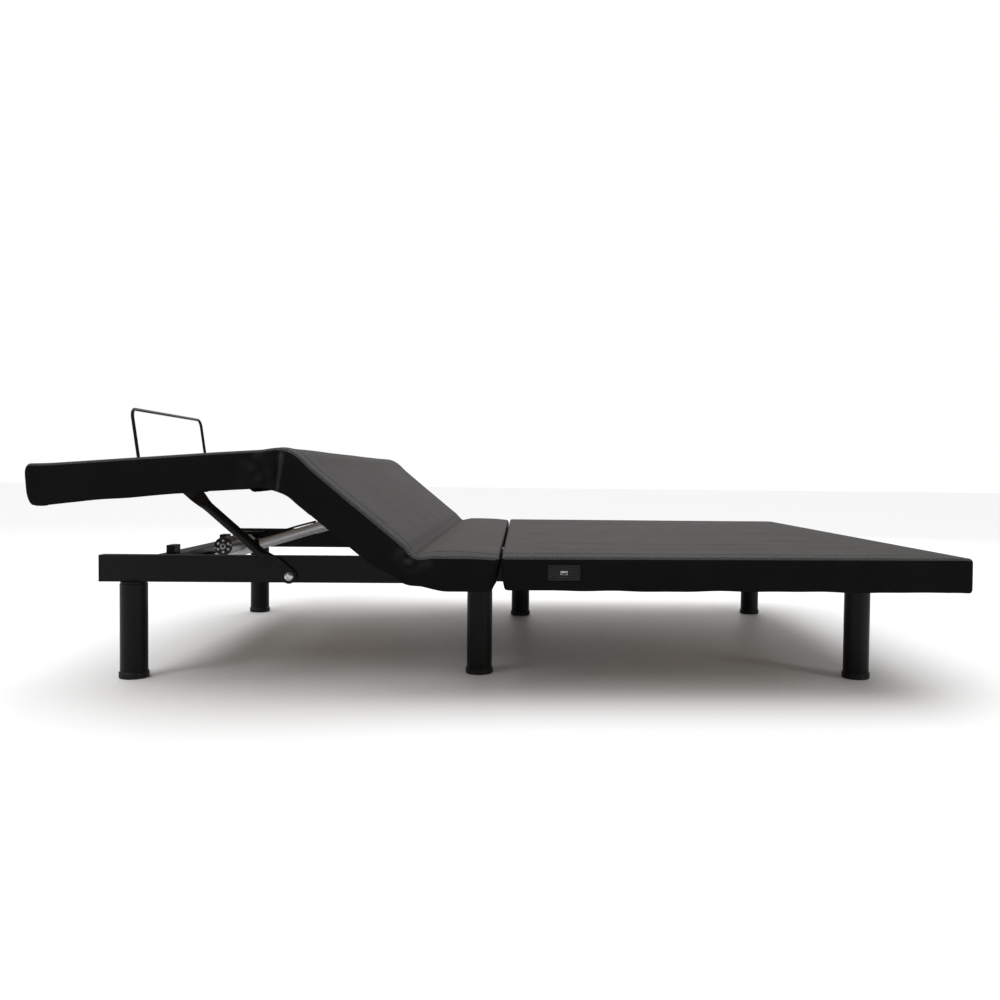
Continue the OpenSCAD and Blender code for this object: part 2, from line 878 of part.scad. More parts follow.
module head_hinge_pins() {
    axis = [seam_x, head_hinge_z];
    color(silver)
        for (s = side) {
            bar_y(axis, head_pin_r, s * (arm_y - 2), s * (bracket_y + bracket_t + 1));
            bar_y(axis, 8, s * (arm_y - 5), s * (arm_y - 2));
            bar_y(axis, 8, s * (bracket_y + bracket_t + 1), s * (bracket_y + bracket_t + 4));
        }
}

module usb_panels() {
    half = usb_size / 2;
    inner = half - [3.2, 3.2];
    top = min(usb_z + inner[1], board_bottom - 0.2);
    color(plastic)
        for (s = side)
            difference() {
                union() {
                    box(usb_x - half[0], usb_x + half[0], s * cover_y, s * (cover_y + 3),
                        usb_z - half[1], usb_z + half[1]);
                    box(usb_x - inner[0], usb_x + inner[0], s * (cover_y - 34), s * cover_y,
                        usb_z - inner[1], top);
                }
                for (x = [-7, 7])
                    box(usb_x + x - 5.5, usb_x + x + 5.5, s * (cover_y - 12), s * (cover_y + 4),
                        usb_z - 3, usb_z + 3);
            }
}

// ---------- thigh section ----------

module thigh_board() {
    color(timber)
        thigh_pose()
            board(knee_x, hip_x)
                thigh_outline();
}

module thigh_fascias() {
    color(timber)
        thigh_pose()
            side_fascias(knee_x, hip_x)
                thigh_outline();
}

module thigh_cover() {
    color(fabric)
        thigh_pose()
            cover(knee_x, hip_x)
                thigh_outline();
}

// Two tubes whose rounded ends carry the hip and knee pins
module thigh_frame_tubes() {
    y_mid = thigh_tube_y + section_tube[0] / 2;
    color(powder)
        thigh_pose()
            for (s = side)
                difference() {
                    union() {
                        tube_x(knee_x, hip_x, s * y_mid, hinge_z - 10, section_tube[0], section_tube[1]);
                        for (p = [hip, knee])
                            bar_y(p, 10, s * thigh_tube_y, s * (thigh_tube_y + section_tube[0]));
                    }
                    for (p = [hip, knee])
                        bar_y(p, hinge_pin_r, s * (thigh_tube_y - 1), s * (thigh_tube_y + section_tube[0] + 1));
                }
}

// Cross tube with the two lugs that the foot drive pushes
module thigh_lift_bar() {
    tube_mid = foot_lug_flat[0] + 52;
    color(powder)
        thigh_pose() {
            tube_y(tube_mid, 30, hinge_z - 10, section_tube[1], thigh_tube_y);
            difference() {
                for (s = side)
                    plate_y(s * lug_y, s * (lug_y + lug_t)) {
                        translate(foot_lug_flat)
                            circle(12);
                        polygon([
                            foot_lug_flat + [0, -12], [tube_mid - 15, hinge_z - 10],
                            [tube_mid - 15, board_bottom], foot_lug_flat + [-12, 28],
                            foot_lug_flat + [-12, 0]]);
                    }
                bar_y(foot_lug_flat, drive_pin_r, -lug_y - lug_t - 1, lug_y + lug_t + 1);
            }
            for (s = side)
                hex_head_y(foot_lug_flat, 8, s * (lug_y + lug_t), s * (lug_y + lug_t + 5));
        }
}

module thigh_hinge_pins() {
    outer = thigh_tube_y + section_tube[0];
    color(silver)
        thigh_pose()
            for (s = side) {
                bar_y(hip, hinge_pin_r, s * (thigh_tube_y - 3), s * (bracket_y + bracket_t + 1));
                bar_y(hip, 9, s * (bracket_y + bracket_t + 1), s * (bracket_y + bracket_t + 5));
                bar_y(hip, 9, s * (thigh_tube_y - 4), s * thigh_tube_y);
                bar_y(knee, hinge_pin_r, s * (calf_tube_y - 1), s * outer);
                bar_y(knee, 9, s * outer, s * (outer + 4));
                bar_y(knee, 9, s * (calf_tube_y - 5), s * (calf_tube_y - 1));
            }
}

// ---------- calf section ----------

wire_x = foot_x + retainer_inset;

// Along a retainer wire, z counted from the deck top
module wire_pose(s) {
    translate([wire_x, s * retainer_w / 2, deck_top])
        rotate([0, -retainer_lean, 0])
            children();
}

socket_r = 7;
socket_len = 62;

module wire_holes(r, z0, z1) {
    for (s = side)
        wire_pose(s)
            translate([0, 0, z0])
                cylinder(r = r, h = z1 - z0);
}

module calf_board() {
    color(timber)
        calf_pose()
            difference() {
                board(foot_x + skirt_t, knee_x)
                    calf_outline();
                wire_holes(socket_r + 0.2, -40, 5);
            }
}

module calf_fascias() {
    end = foot_x + skirt_t;
    color(timber)
        calf_pose()
            difference() {
                union() {
                    side_fascias(end, knee_x)
                        calf_outline();
                    box(end, end + fascia_t, -board_y + fascia_t, board_y - fascia_t,
                        fascia_bottom, board_bottom);
                }
                wire_holes(socket_r + 0.2, -90, 5);
            }
}

module calf_cover() {
    color(fabric)
        calf_pose()
            difference() {
                union() {
                    cover(foot_x, knee_x)
                        calf_outline();
                    box(foot_x, foot_x + skirt_t, -board_y, board_y, hem, board_top);
                }
                wire_holes(wire_r + 1, -12, 5);
            }
}

module calf_frame_tubes() {
    y_mid = calf_tube_y + section_tube[0] / 2;
    color(powder)
        calf_pose()
            for (s = side)
                difference() {
                    union() {
                        tube_x(foot_x + 40, knee_x, s * y_mid, hinge_z - 10, section_tube[0], section_tube[1]);
                        bar_y(knee, 10, s * calf_tube_y, s * (calf_tube_y + section_tube[0]));
                    }
                    bar_y(knee, hinge_pin_r + fit_gap,
                        s * (calf_tube_y - 1), s * (calf_tube_y + section_tube[0] + 1));
                }
}

// Angle plates under the calf board, outside the links
plate_inner_y = tab_y + tab_t + 1;

module link_brackets() {
    color(powder)
        calf_pose()
            for (s = side) {
                difference() {
                    plate_y(s * plate_inner_y, s * (plate_inner_y + tab_t)) {
                        translate(link_pin_flat)
                            circle(14);
                        translate([link_pin_flat[0] - 14, link_pin_flat[1]])
                            square([28, board_bottom - 3 - link_pin_flat[1]]);
                    }
                    bar_y(link_pin_flat, link_bolt_r, s * (plate_inner_y - 1), s * (plate_inner_y + tab_t + 1));
                }
                box(link_pin_flat[0] - 26, link_pin_flat[0] + 26,
                    s * (calf_tube_y + section_tube[0]), s * (plate_inner_y + 32), board_bottom - 3, board_bottom);
            }
}

module link_top_bolts() {
    color(silver)
        calf_pose()
            for (s = side) {
                bar_y(link_pin_flat, link_bolt_r, s * (tab_y - 1), s * (plate_inner_y + tab_t));
                hex_head_y(link_pin_flat, 8, s * (plate_inner_y + tab_t), s * (plate_inner_y + tab_t + 6));
            }
}

module retainer_sockets() {
    color(powder)
        calf_pose()
            difference() {
                wire_holes(socket_r, -pad_t - socket_len, -pad_t - 0.5);
                wire_holes(wire_r + fit_gap, -pad_t - socket_len - 1, 1);
            }
}

// One bent wire: two uprights, two corners and the top
module retainer_bar() {
    bend = 22;
    foot = -pad_t - socket_len + 4;
    color(powder)
        calf_pose()
            for (s = side)
                wire_pose(s) {
                    translate([0, 0, foot])
                        cylinder(r = wire_r, h = retainer_h - bend - foot);
                    translate([0, -s * bend, retainer_h - bend])
                        rotate([0, -90, 0])
                            rotate([0, 0, s > 0 ? 0 : -90])
                                rotate_extrude(angle = 90)
                                    translate([bend, 0])
                                        circle(r = wire_r, $fn = 24);
                    translate([0, -s * bend, retainer_h])
                        rotate([90 * s, 0, 0])
                            cylinder(r = wire_r, h = retainer_w / 2 - bend);
                }
}

// ---------- support links ----------

// Round tube along +X with both ends pressed flat onto the rail side
module support_link(s) {
    tab_len = 50;
    press = 30;
    tab_mid = s * (tab_y + tab_t / 2);
    tube_mid = s * (tab_y + link_r);
    color(powder)
        translate([link_pivot[0], 0, link_pivot[1]])
            rotate([0, 180 + link_angle, 0])
                difference() {
                    union() {
                        translate([tab_len + press, tube_mid, 0])
                            rotate([0, 90, 0])
                                cylinder(r = link_r, h = link_len - 2 * tab_len - 2 * press);
                        for (e = [[0, 1], [link_len, -1]]) {
                            bar_y([e[0], 0], link_tab_w / 2, s * tab_y, s * (tab_y + tab_t));
                            translate([min(e[0], e[0] + e[1] * tab_len), tab_mid - tab_t / 2, -link_tab_w / 2])
                                cube([tab_len, tab_t, link_tab_w]);
                            hull() {
                                translate([e[0] + e[1] * (tab_len - 6), tab_mid, 0])
                                    cube([1, tab_t - 0.8, link_tab_w - 2], center = true);
                                translate([e[0] + e[1] * (tab_len + press + 3), tube_mid, 0])
                                    rotate([0, 90, 0])
                                        cylinder(r = link_r - 0.8, h = 1, center = true, $fn = 24);
                            }
                        }
                    }
                    bar_y([0, 0], hinge_pin_r + fit_gap, s * (tab_y - 1), s * (tab_y + tab_t + 1));
                    bar_y([link_len, 0], link_hole_r, s * (tab_y - 1), s * (tab_y + tab_t + 1));
                }
}

module support_link_near() { support_link(-1); }
module support_link_far() { support_link(1); }

// ---------- assembly ----------

foot_rail_near();
foot_rail_far();
head_rail_near();
head_rail_far();
foot_cross_tube();
drive_cross_tube();
centre_cross_tube();
head_cross_tube();
corner_gussets();
leg_plates();
leg_foot_near();
leg_foot_far();
leg_mid_near();
leg_mid_far();
leg_head_near();
leg_head_far();
leg_glides();
rest_posts();
rail_pads();
rail_joint_bolts();
link_pivot_bolts();
seat_board();
seat_fascias();
seat_cover();
seat_hinge_brackets();
drive_brackets();
control_box();
power_inlet();
head_board();
head_fascias();
head_cover();
head_frame_tubes();
head_lift_bar();
head_hinge_arms();
head_hinge_pins();
usb_panels();
thigh_board();
thigh_fascias();
thigh_cover();
thigh_frame_tubes();
thigh_lift_bar();
thigh_hinge_pins();
calf_board();
calf_fascias();
calf_cover();
calf_frame_tubes();
link_brackets();
link_top_bolts();
retainer_sockets();
retainer_bar();
support_link_near();
support_link_far();
foot_gearbox();
foot_motor();
foot_drive_tube();
foot_drive_rod();
head_gearbox();
head_motor();
head_drive_tube();
head_drive_rod();
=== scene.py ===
"""Looks of the adjustable bed base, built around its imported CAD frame."""

import json
import math

import bmesh
import bpy
import numpy as np
from mathutils import Matrix, Vector, noise

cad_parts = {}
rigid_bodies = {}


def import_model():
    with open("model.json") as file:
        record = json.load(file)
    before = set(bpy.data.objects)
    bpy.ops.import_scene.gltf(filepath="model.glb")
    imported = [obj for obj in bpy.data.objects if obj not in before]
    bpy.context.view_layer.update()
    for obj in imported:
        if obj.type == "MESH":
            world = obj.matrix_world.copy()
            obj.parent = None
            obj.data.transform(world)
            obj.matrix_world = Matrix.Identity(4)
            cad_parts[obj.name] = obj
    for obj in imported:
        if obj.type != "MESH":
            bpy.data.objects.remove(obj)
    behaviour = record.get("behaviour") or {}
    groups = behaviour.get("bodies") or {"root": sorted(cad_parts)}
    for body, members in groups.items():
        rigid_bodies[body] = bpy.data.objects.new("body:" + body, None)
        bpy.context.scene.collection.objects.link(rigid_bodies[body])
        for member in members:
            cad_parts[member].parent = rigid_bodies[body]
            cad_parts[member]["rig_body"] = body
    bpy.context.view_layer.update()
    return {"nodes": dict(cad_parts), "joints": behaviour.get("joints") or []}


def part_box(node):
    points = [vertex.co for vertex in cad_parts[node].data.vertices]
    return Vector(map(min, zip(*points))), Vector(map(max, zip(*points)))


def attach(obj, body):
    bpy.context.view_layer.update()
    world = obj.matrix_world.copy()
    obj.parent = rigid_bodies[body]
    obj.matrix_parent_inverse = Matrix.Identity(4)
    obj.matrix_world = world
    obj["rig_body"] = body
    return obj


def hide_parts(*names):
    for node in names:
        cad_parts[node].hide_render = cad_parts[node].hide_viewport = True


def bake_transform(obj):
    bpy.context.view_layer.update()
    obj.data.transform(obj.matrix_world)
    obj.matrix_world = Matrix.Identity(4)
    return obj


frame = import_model()
nodes = frame["nodes"]
joints = {j["name"]: j for j in frame["joints"]}
scene = bpy.context.scene

# ---------------------------------------------------------------- stations

HIP = np.array(joints["thigh_lift"]["pos_m"], float)
KNEE = np.array(joints["knee_fold"]["pos_m"], float)
SEAM = np.array(joints["head_lift"]["pos_m"], float)
THIGH = math.radians(-joints["thigh_lift"]["range_deg"][0])
THIGH_LEN = float(np.linalg.norm(KNEE - HIP))
head_lo, head_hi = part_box("head_cover")
TOP = head_hi.z
HEAD_END = head_hi.x
HEM = head_lo.z
HALF = head_hi.y
BOARD_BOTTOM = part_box("head_board")[0].z
KNEE_FLAT = HIP + np.array([-THIGH_LEN, 0, 0])

# The knee's bend from the flat deck to rest; its joint's limit stands a hair past it
LIMIT_ROOM_DEG = 0.02
BEND = math.radians(joints["knee_fold"]["range_deg"][1] - LIMIT_ROOM_DEG)
CALF_FALL = BEND - THIGH


def points(name):
    """The vertices of a CAD node."""
    return np.array([v.co for v in nodes[name].data.vertices])


def turn(p, centre, angle):
    """Turn points about a line along Y, far end up for a positive angle on the foot side."""
    c, s = np.cos(angle), np.sin(angle)
    x, z = p[..., 0] - centre[0], p[..., 2] - centre[2]
    out = np.array(p, float)
    out[..., 0] = centre[0] + x * c + z * s
    out[..., 2] = centre[2] - x * s + z * c
    return out


def thigh_pose(p):
    return turn(p, HIP, THIGH)


def calf_pose(p):
    return thigh_pose(turn(p, KNEE_FLAT, -BEND))


def thigh_flat(p):
    return turn(p, HIP, -THIGH)


def calf_flat(p):
    return turn(thigh_flat(p), KNEE_FLAT, BEND)


FOOT_END = float(calf_flat(points("calf_cover"))[:, 0].min())


def smooth(t):
    t = np.clip(t, 0, 1)
    return t * t * (3 - 2 * t)


# ---------------------------------------------------------------- materials


class Maker:
    """Small helper round one node tree."""

    def __init__(self, name):
        self.mat = bpy.data.materials.new(name)
        self.mat.use_nodes = True
        self.tree = self.mat.node_tree
        self.bsdf = self.tree.nodes["Principled BSDF"]

    def node(self, kind, **values):
        n = self.tree.nodes.new(kind)
        for k, v in values.items():
            if k in n.inputs:
                n.inputs[k].default_value = v
            else:
                setattr(n, k, v)
        return n

    def link(self, a, b):
        self.tree.links.new(a, b)

    def set(self, **values):
        for k, v in values.items():
            self.bsdf.inputs[k.replace("_", " ")].default_value = v
        return self

    def coords(self, kind="Object", scale=(1, 1, 1)):
        t = self.node("ShaderNodeTexCoord")
        m = self.node("ShaderNodeMapping")
        m.inputs["Scale"].default_value = scale
        self.link(t.outputs[kind], m.inputs["Vector"])
        return m.outputs["Vector"]

    def noise(self, vector, scale, detail=2.0, rough=0.5):
        n = self.node("ShaderNodeTexNoise")
        n.inputs["Scale"].default_value = scale
        n.inputs["Detail"].default_value = detail
        n.inputs["Roughness"].default_value = rough
        self.link(vector, n.inputs["Vector"])
        return n.outputs["Fac"]

    def ramp(self, fac, stops):
        n = self.node("ShaderNodeValToRGB")
        while len(n.color_ramp.elements) < len(stops):
            n.color_ramp.elements.new(0.5)
        for e, (pos, col) in zip(n.color_ramp.elements, stops):
            e.position = pos
            e.color = (*col, 1) if len(col) == 3 else col
        self.link(fac, n.inputs["Fac"])
        return n.outputs["Color"]

    def math(self, op, a, b):
        n = self.node("ShaderNodeMath", operation=op)
        for i, v in enumerate((a, b)):
            if isinstance(v, (int, float)):
                n.inputs[i].default_value = v
            else:
                self.link(v, n.inputs[i])
        return n.outputs[0]

    def bump(self, height, strength, distance, radius=0.0):
        b = self.node("ShaderNodeBump")
        b.inputs["Strength"].default_value = strength
        b.inputs["Distance"].default_value = distance
        self.link(height, b.inputs["Height"])
        if radius:
            e = self.node("ShaderNodeBevel", samples=4)
            e.inputs["Radius"].default_value = radius
            self.link(e.outputs["Normal"], b.inputs["Normal"])
        self.link(b.outputs["Normal"], self.bsdf.inputs["Normal"])
        return self


# Sockets of a colour Mix node, which go by number
MIX_FACTOR, MIX_A, MIX_B, MIX_RESULT = 0, 6, 7, 2


def weave(m, uv, scale):
    """Height of a plain weave: two crossed waves."""
    outs = []
    for direction in ("X", "Y"):
        w = m.node("ShaderNodeTexWave", wave_type="BANDS", bands_direction=direction)
        w.inputs["Scale"].default_value = scale
        w.inputs["Distortion"].default_value = 0.6
        w.inputs["Detail"].default_value = 1.0
        w.inputs["Detail Scale"].default_value = 2.0
        m.link(uv, w.inputs["Vector"])
        outs.append(w.outputs["Fac"])
    return m.math("MULTIPLY", outs[0], outs[1])


def fabric(name, dark, light, yarn, fleck, sheen=0.05, rough=0.92, shine=0.12, painted_highlight=None):
    m = Maker(name)
    uv = m.coords("UV")
    fine = m.noise(uv, yarn, 3.0, 0.65)
    broad = m.noise(uv, 9.0, 3.0, 0.55)
    threads = weave(m, uv, yarn * 0.42)
    broad = m.math("ADD", m.math("MULTIPLY", broad, 0.55), 0.225)
    mix = m.math("ADD", m.math("MULTIPLY", fine, fleck), m.math("MULTIPLY", broad, 1.0 - fleck))
    mix = m.math("ADD", m.math("MULTIPLY", mix, 0.8), m.math("MULTIPLY", threads, 0.2))
    colour = m.ramp(mix, [(0.3, dark), (0.68, light)])
    # painted highlight: a lighter colour mixed in where the mask attribute is set, standing in for light caught on the
    # skirt's folds
    if painted_highlight:
        mask = m.node("ShaderNodeAttribute", attribute_name="wear")
        blend = m.node("ShaderNodeMix", data_type="RGBA")
        m.link(mask.outputs["Fac"], blend.inputs[MIX_FACTOR])
        m.link(colour, blend.inputs[MIX_A])
        m.link(m.ramp(mix, [(0.35, dark), (0.66, painted_highlight)]), blend.inputs[MIX_B])
        colour = blend.outputs[MIX_RESULT]
    m.link(colour, m.bsdf.inputs["Base Color"])
    m.set(Roughness=rough, Specular_IOR_Level=shine, Sheen_Weight=sheen, Sheen_Roughness=0.5)
    height = m.math("ADD", m.math("MULTIPLY", threads, 0.5), m.math("MULTIPLY", fine, 0.8))
    m.bump(height, 0.55, 0.0006)
    return m.mat


def metal(name, colour, rough, metallic=1.0, edge=0.0008, grain=220, strength=0.05, stretch=(1, 1, 1)):
    m = Maker(name)
    v = m.coords("Object", stretch)
    n = m.noise(v, grain, 3.0)
    smear = m.noise(v, 14.0, 3.0)
    r = m.node("ShaderNodeMapRange")
    r.inputs["To Min"].default_value = rough * 0.85
    r.inputs["To Max"].default_value = min(1.0, rough * 1.2)
    m.link(smear, r.inputs["Value"])
    m.link(r.outputs["Result"], m.bsdf.inputs["Roughness"])
    dark = tuple(c * 0.86 for c in colour)
    m.link(m.ramp(smear, [(0.35, dark), (0.7, colour)]), m.bsdf.inputs["Base Color"])
    m.set(Metallic=metallic)
    m.bump(n, strength, 0.0004, edge)
    return m.mat


def plastic(name, colour, rough, grain=900, strength=0.12, edge=0.0009):
    m = Maker(name)
    v = m.coords("Object")
    n = m.noise(v, grain, 2.0)
    blot = m.noise(v, 18.0, 2.0)
    light = tuple(min(1.0, c * 1.25 + 0.002) for c in colour)
    m.link(m.ramp(blot, [(0.35, colour), (0.7, light)]), m.bsdf.inputs["Base Color"])
    m.set(Roughness=rough, Specular_IOR_Level=0.18)
    m.bump(n, strength, 0.0003, edge)
    return m.mat


def powder_coat():
    m = Maker("powder coat")
    v = m.coords("Object")
    peel = m.noise(v, 700.0, 2.0)
    blot = m.noise(v, 5.0, 3.0)
    m.link(m.ramp(blot, [(0.3, (0.003, 0.003, 0.003)), (0.75, (0.0052, 0.0052, 0.0052))]),
           m.bsdf.inputs["Base Color"])
    m.set(Roughness=0.38, Specular_IOR_Level=0.13)
    m.bump(peel, 0.14, 0.0005, 0.0014)
    return m.mat


def plywood():
    m = Maker("plywood")
    v = m.coords("Object", (1.0, 9.0, 1.0))
    g = m.noise(v, 4.0, 6.0, 0.6)
    f = m.noise(m.coords("Object", (3.0, 60.0, 3.0)), 10.0, 3.0)
    mix = m.math("ADD", m.math("MULTIPLY", g, 0.7), m.math("MULTIPLY", f, 0.3))
    m.link(m.ramp(mix, [(0.3, (0.20, 0.14, 0.09)), (0.5, (0.31, 0.23, 0.155)), (0.7, (0.40, 0.31, 0.22))]),
           m.bsdf.inputs["Base Color"])
    m.set(Roughness=0.62, Specular_IOR_Level=0.3)
    m.bump(mix, 0.25, 0.0006, 0.0008)
    return m.mat


M_TOP = fabric("top fabric", (0.034, 0.0305, 0.0292), (0.062, 0.0565, 0.0545), 620.0, 0.45)
M_BAND = fabric("border fabric", (0.010, 0.0098, 0.0096), (0.082, 0.080, 0.078), 230.0, 0.85)
# the skirt's lighter second colour is a painted highlight for light on its folds at the hip and knee
M_SKIRT = fabric("skirt fabric", (0.003, 0.003, 0.003), (0.0085, 0.0085, 0.0085), 480.0, 0.5,
                 sheen=0.0, rough=0.9, shine=0.03, painted_highlight=(0.085, 0.082, 0.08))
M_PIPING = fabric("piping", (0.06, 0.057, 0.055), (0.13, 0.126, 0.122), 500.0, 0.3)
M_STEEL = powder_coat()
M_WOOD = plywood()
M_ZINC = metal("zinc plated steel", (0.66, 0.66, 0.66), 0.28, stretch=(1, 1, 1))
M_MOTOR = metal("motor can", (0.035, 0.035, 0.037), 0.3, metallic=0.6, grain=300, strength=0.1)
M_ROD = metal("chromed rod", (0.72, 0.72, 0.73), 0.12, grain=90, strength=0.02)
M_ALU = metal("anodised tube", (0.72, 0.75, 0.79), 0.4, metallic=0.55, grain=500, strength=0.08, stretch=(0.05, 1, 1))
M_PLASTIC = plastic("black plastic", (0.006, 0.006, 0.0062), 0.46)
M_GLOSS = plastic("gloss plastic", (0.005, 0.005, 0.0052), 0.25, strength=0.04)
M_RUBBER = plastic("black rubber", (0.006, 0.006, 0.006), 0.78, grain=400, strength=0.25)
M_LINE = plastic("panel trim", (0.12, 0.12, 0.125), 0.4)
M_WHITE = plastic("port insert", (0.55, 0.56, 0.58), 0.35)


# ---------------------------------------------------------------- mesh helpers


def add_mesh(name, verts, faces, mats, face_mats=None, uvs=None, flat=False):
    me = bpy.data.meshes.new(name)
    me.from_pydata([tuple(v) for v in verts], [], faces)
    for m in mats:
        me.materials.append(m)
    if face_mats is not None:
        me.polygons.foreach_set("material_index", np.array(face_mats, np.int32))
    if uvs is not None:
        layer = me.uv_layers.new(name="flat")
        loops = np.zeros(len(me.loops), np.int32)
        me.loops.foreach_get("vertex_index", loops)
        layer.data.foreach_set("uv", np.asarray(uvs, np.float32)[loops].ravel())
    me.polygons.foreach_set("use_smooth", np.full(len(me.polygons), not flat))
    me.update()
    o = bpy.data.objects.new(name, me)
    scene.collection.objects.link(o)
    return o


def softened(name, mat, width=0.0025, move=None):
    """A copy of a CAD node with rounded edges, shown in its place."""
    src = nodes[name]
    me = src.data.copy()
    bm = bmesh.new()
    bm.from_mesh(me)
    bmesh.ops.remove_doubles(bm, verts=bm.verts, dist=1e-6)
    bmesh.ops.dissolve_limit(bm, angle_limit=math.radians(0.6), verts=bm.verts, edges=bm.edges)
    if move is not None:
        for v, c in zip(bm.verts, move(np.array([v.co for v in bm.verts]))):
            v.co = c
    bm.to_mesh(me)
    bm.free()
    if "custom_normal" in me.attributes:
        me.attributes.remove(me.attributes["custom_normal"])
    me.materials.clear()
    me.materials.append(mat)
    me.polygons.foreach_set("use_smooth", np.ones(len(me.polygons), bool))
    me.set_sharp_from_angle(angle=math.radians(28))
    o = bpy.data.objects.new(name + "_look", me)
    scene.collection.objects.link(o)
    if width:
        b = o.modifiers.new("edges", "BEVEL")
        b.width = width
        b.segments = 3
        b.limit_method = "ANGLE"
        b.angle_limit = math.radians(50)
        b.harden_normals = False
        b.use_clamp_overlap = True
    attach(o, src["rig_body"])
    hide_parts(name)
    return o


def paint(name, mat):
    nodes[name].data.materials.clear()
    nodes[name].data.materials.append(mat)


# ---------------------------------------------------------------- covers

THICK = 0.0037
LINING_END = TOP - BOARD_BOTTOM
ARC, WALL, FOOT, INNER, RISE = 7, 9, 6, 6, 7
STEPS = ARC + WALL + FOOT + INNER + RISE


def edge_path(margin, top_r, foot_r, depth, end_depth):
    """From the top's edge over, down, under the hem and up inside, as (offset, drop), arrays allowed."""
    o, d = [], []
    inner_r = np.maximum(foot_r - THICK, 0.0003)
    for t in np.linspace(0, math.pi / 2, ARC):
        o.append(margin - top_r + top_r * math.sin(t))
        d.append(top_r * (1 - math.cos(t)))
    for t in np.linspace(0, 1, WALL + 1)[1:]:
        o.append(margin + 0 * top_r)
        d.append(top_r + (depth - foot_r - top_r) * t)
    for t in np.linspace(0, math.pi / 2, FOOT + 1)[1:]:
        o.append(margin - foot_r * (1 - math.cos(t)))
        d.append(depth - foot_r + foot_r * math.sin(t))
    for t in np.linspace(math.pi / 2, 0, INNER):
        o.append(margin - THICK - inner_r * (1 - math.cos(t)))
        d.append(depth - foot_r + inner_r * math.sin(t))
    for t in np.linspace(0, 1, RISE + 1)[1:]:
        o.append(margin - THICK + 0 * top_r)
        start = depth - foot_r
        d.append(start + (end_depth - start) * t)
    return np.array(o), np.array(d)


class End:
    """How a cover finishes at one end of its length: skirt, seam or cut."""

    def __init__(self, kind, margin=0.014, top_r=0.012, foot_r=0.022, lift=0.0):
        self.kind, self.margin, self.top_r, self.foot_r, self.lift = kind, margin, top_r, foot_r, lift


SIDE = End("skirt", 0.014, 0.0065, 0.0022)
SHOULDER = 0.064
DROP = TOP - HEM
BAND = 0.050
# Rows of vertices either side of the border's stitching
STITCH_ROWS = (-0.0045, -0.0025, -0.0012, 0, 0.0012, 0.0025, 0.0045)
# How far in from the side the skirt's own thickness reaches, and how far a narrowed border is felt
LIP = 0.0265
BORDER_REACH = 0.16
# How far the cloth stands past the boards at the two ends
PAST_END = 0.004
# Depths of the cloth's outer and inner face where it only turns over the board at the seam
TURN_OUTER, TURN_INNER = 0.031, 0.020
M_COVER = [M_TOP, M_BAND, M_SKIRT, M_PIPING]


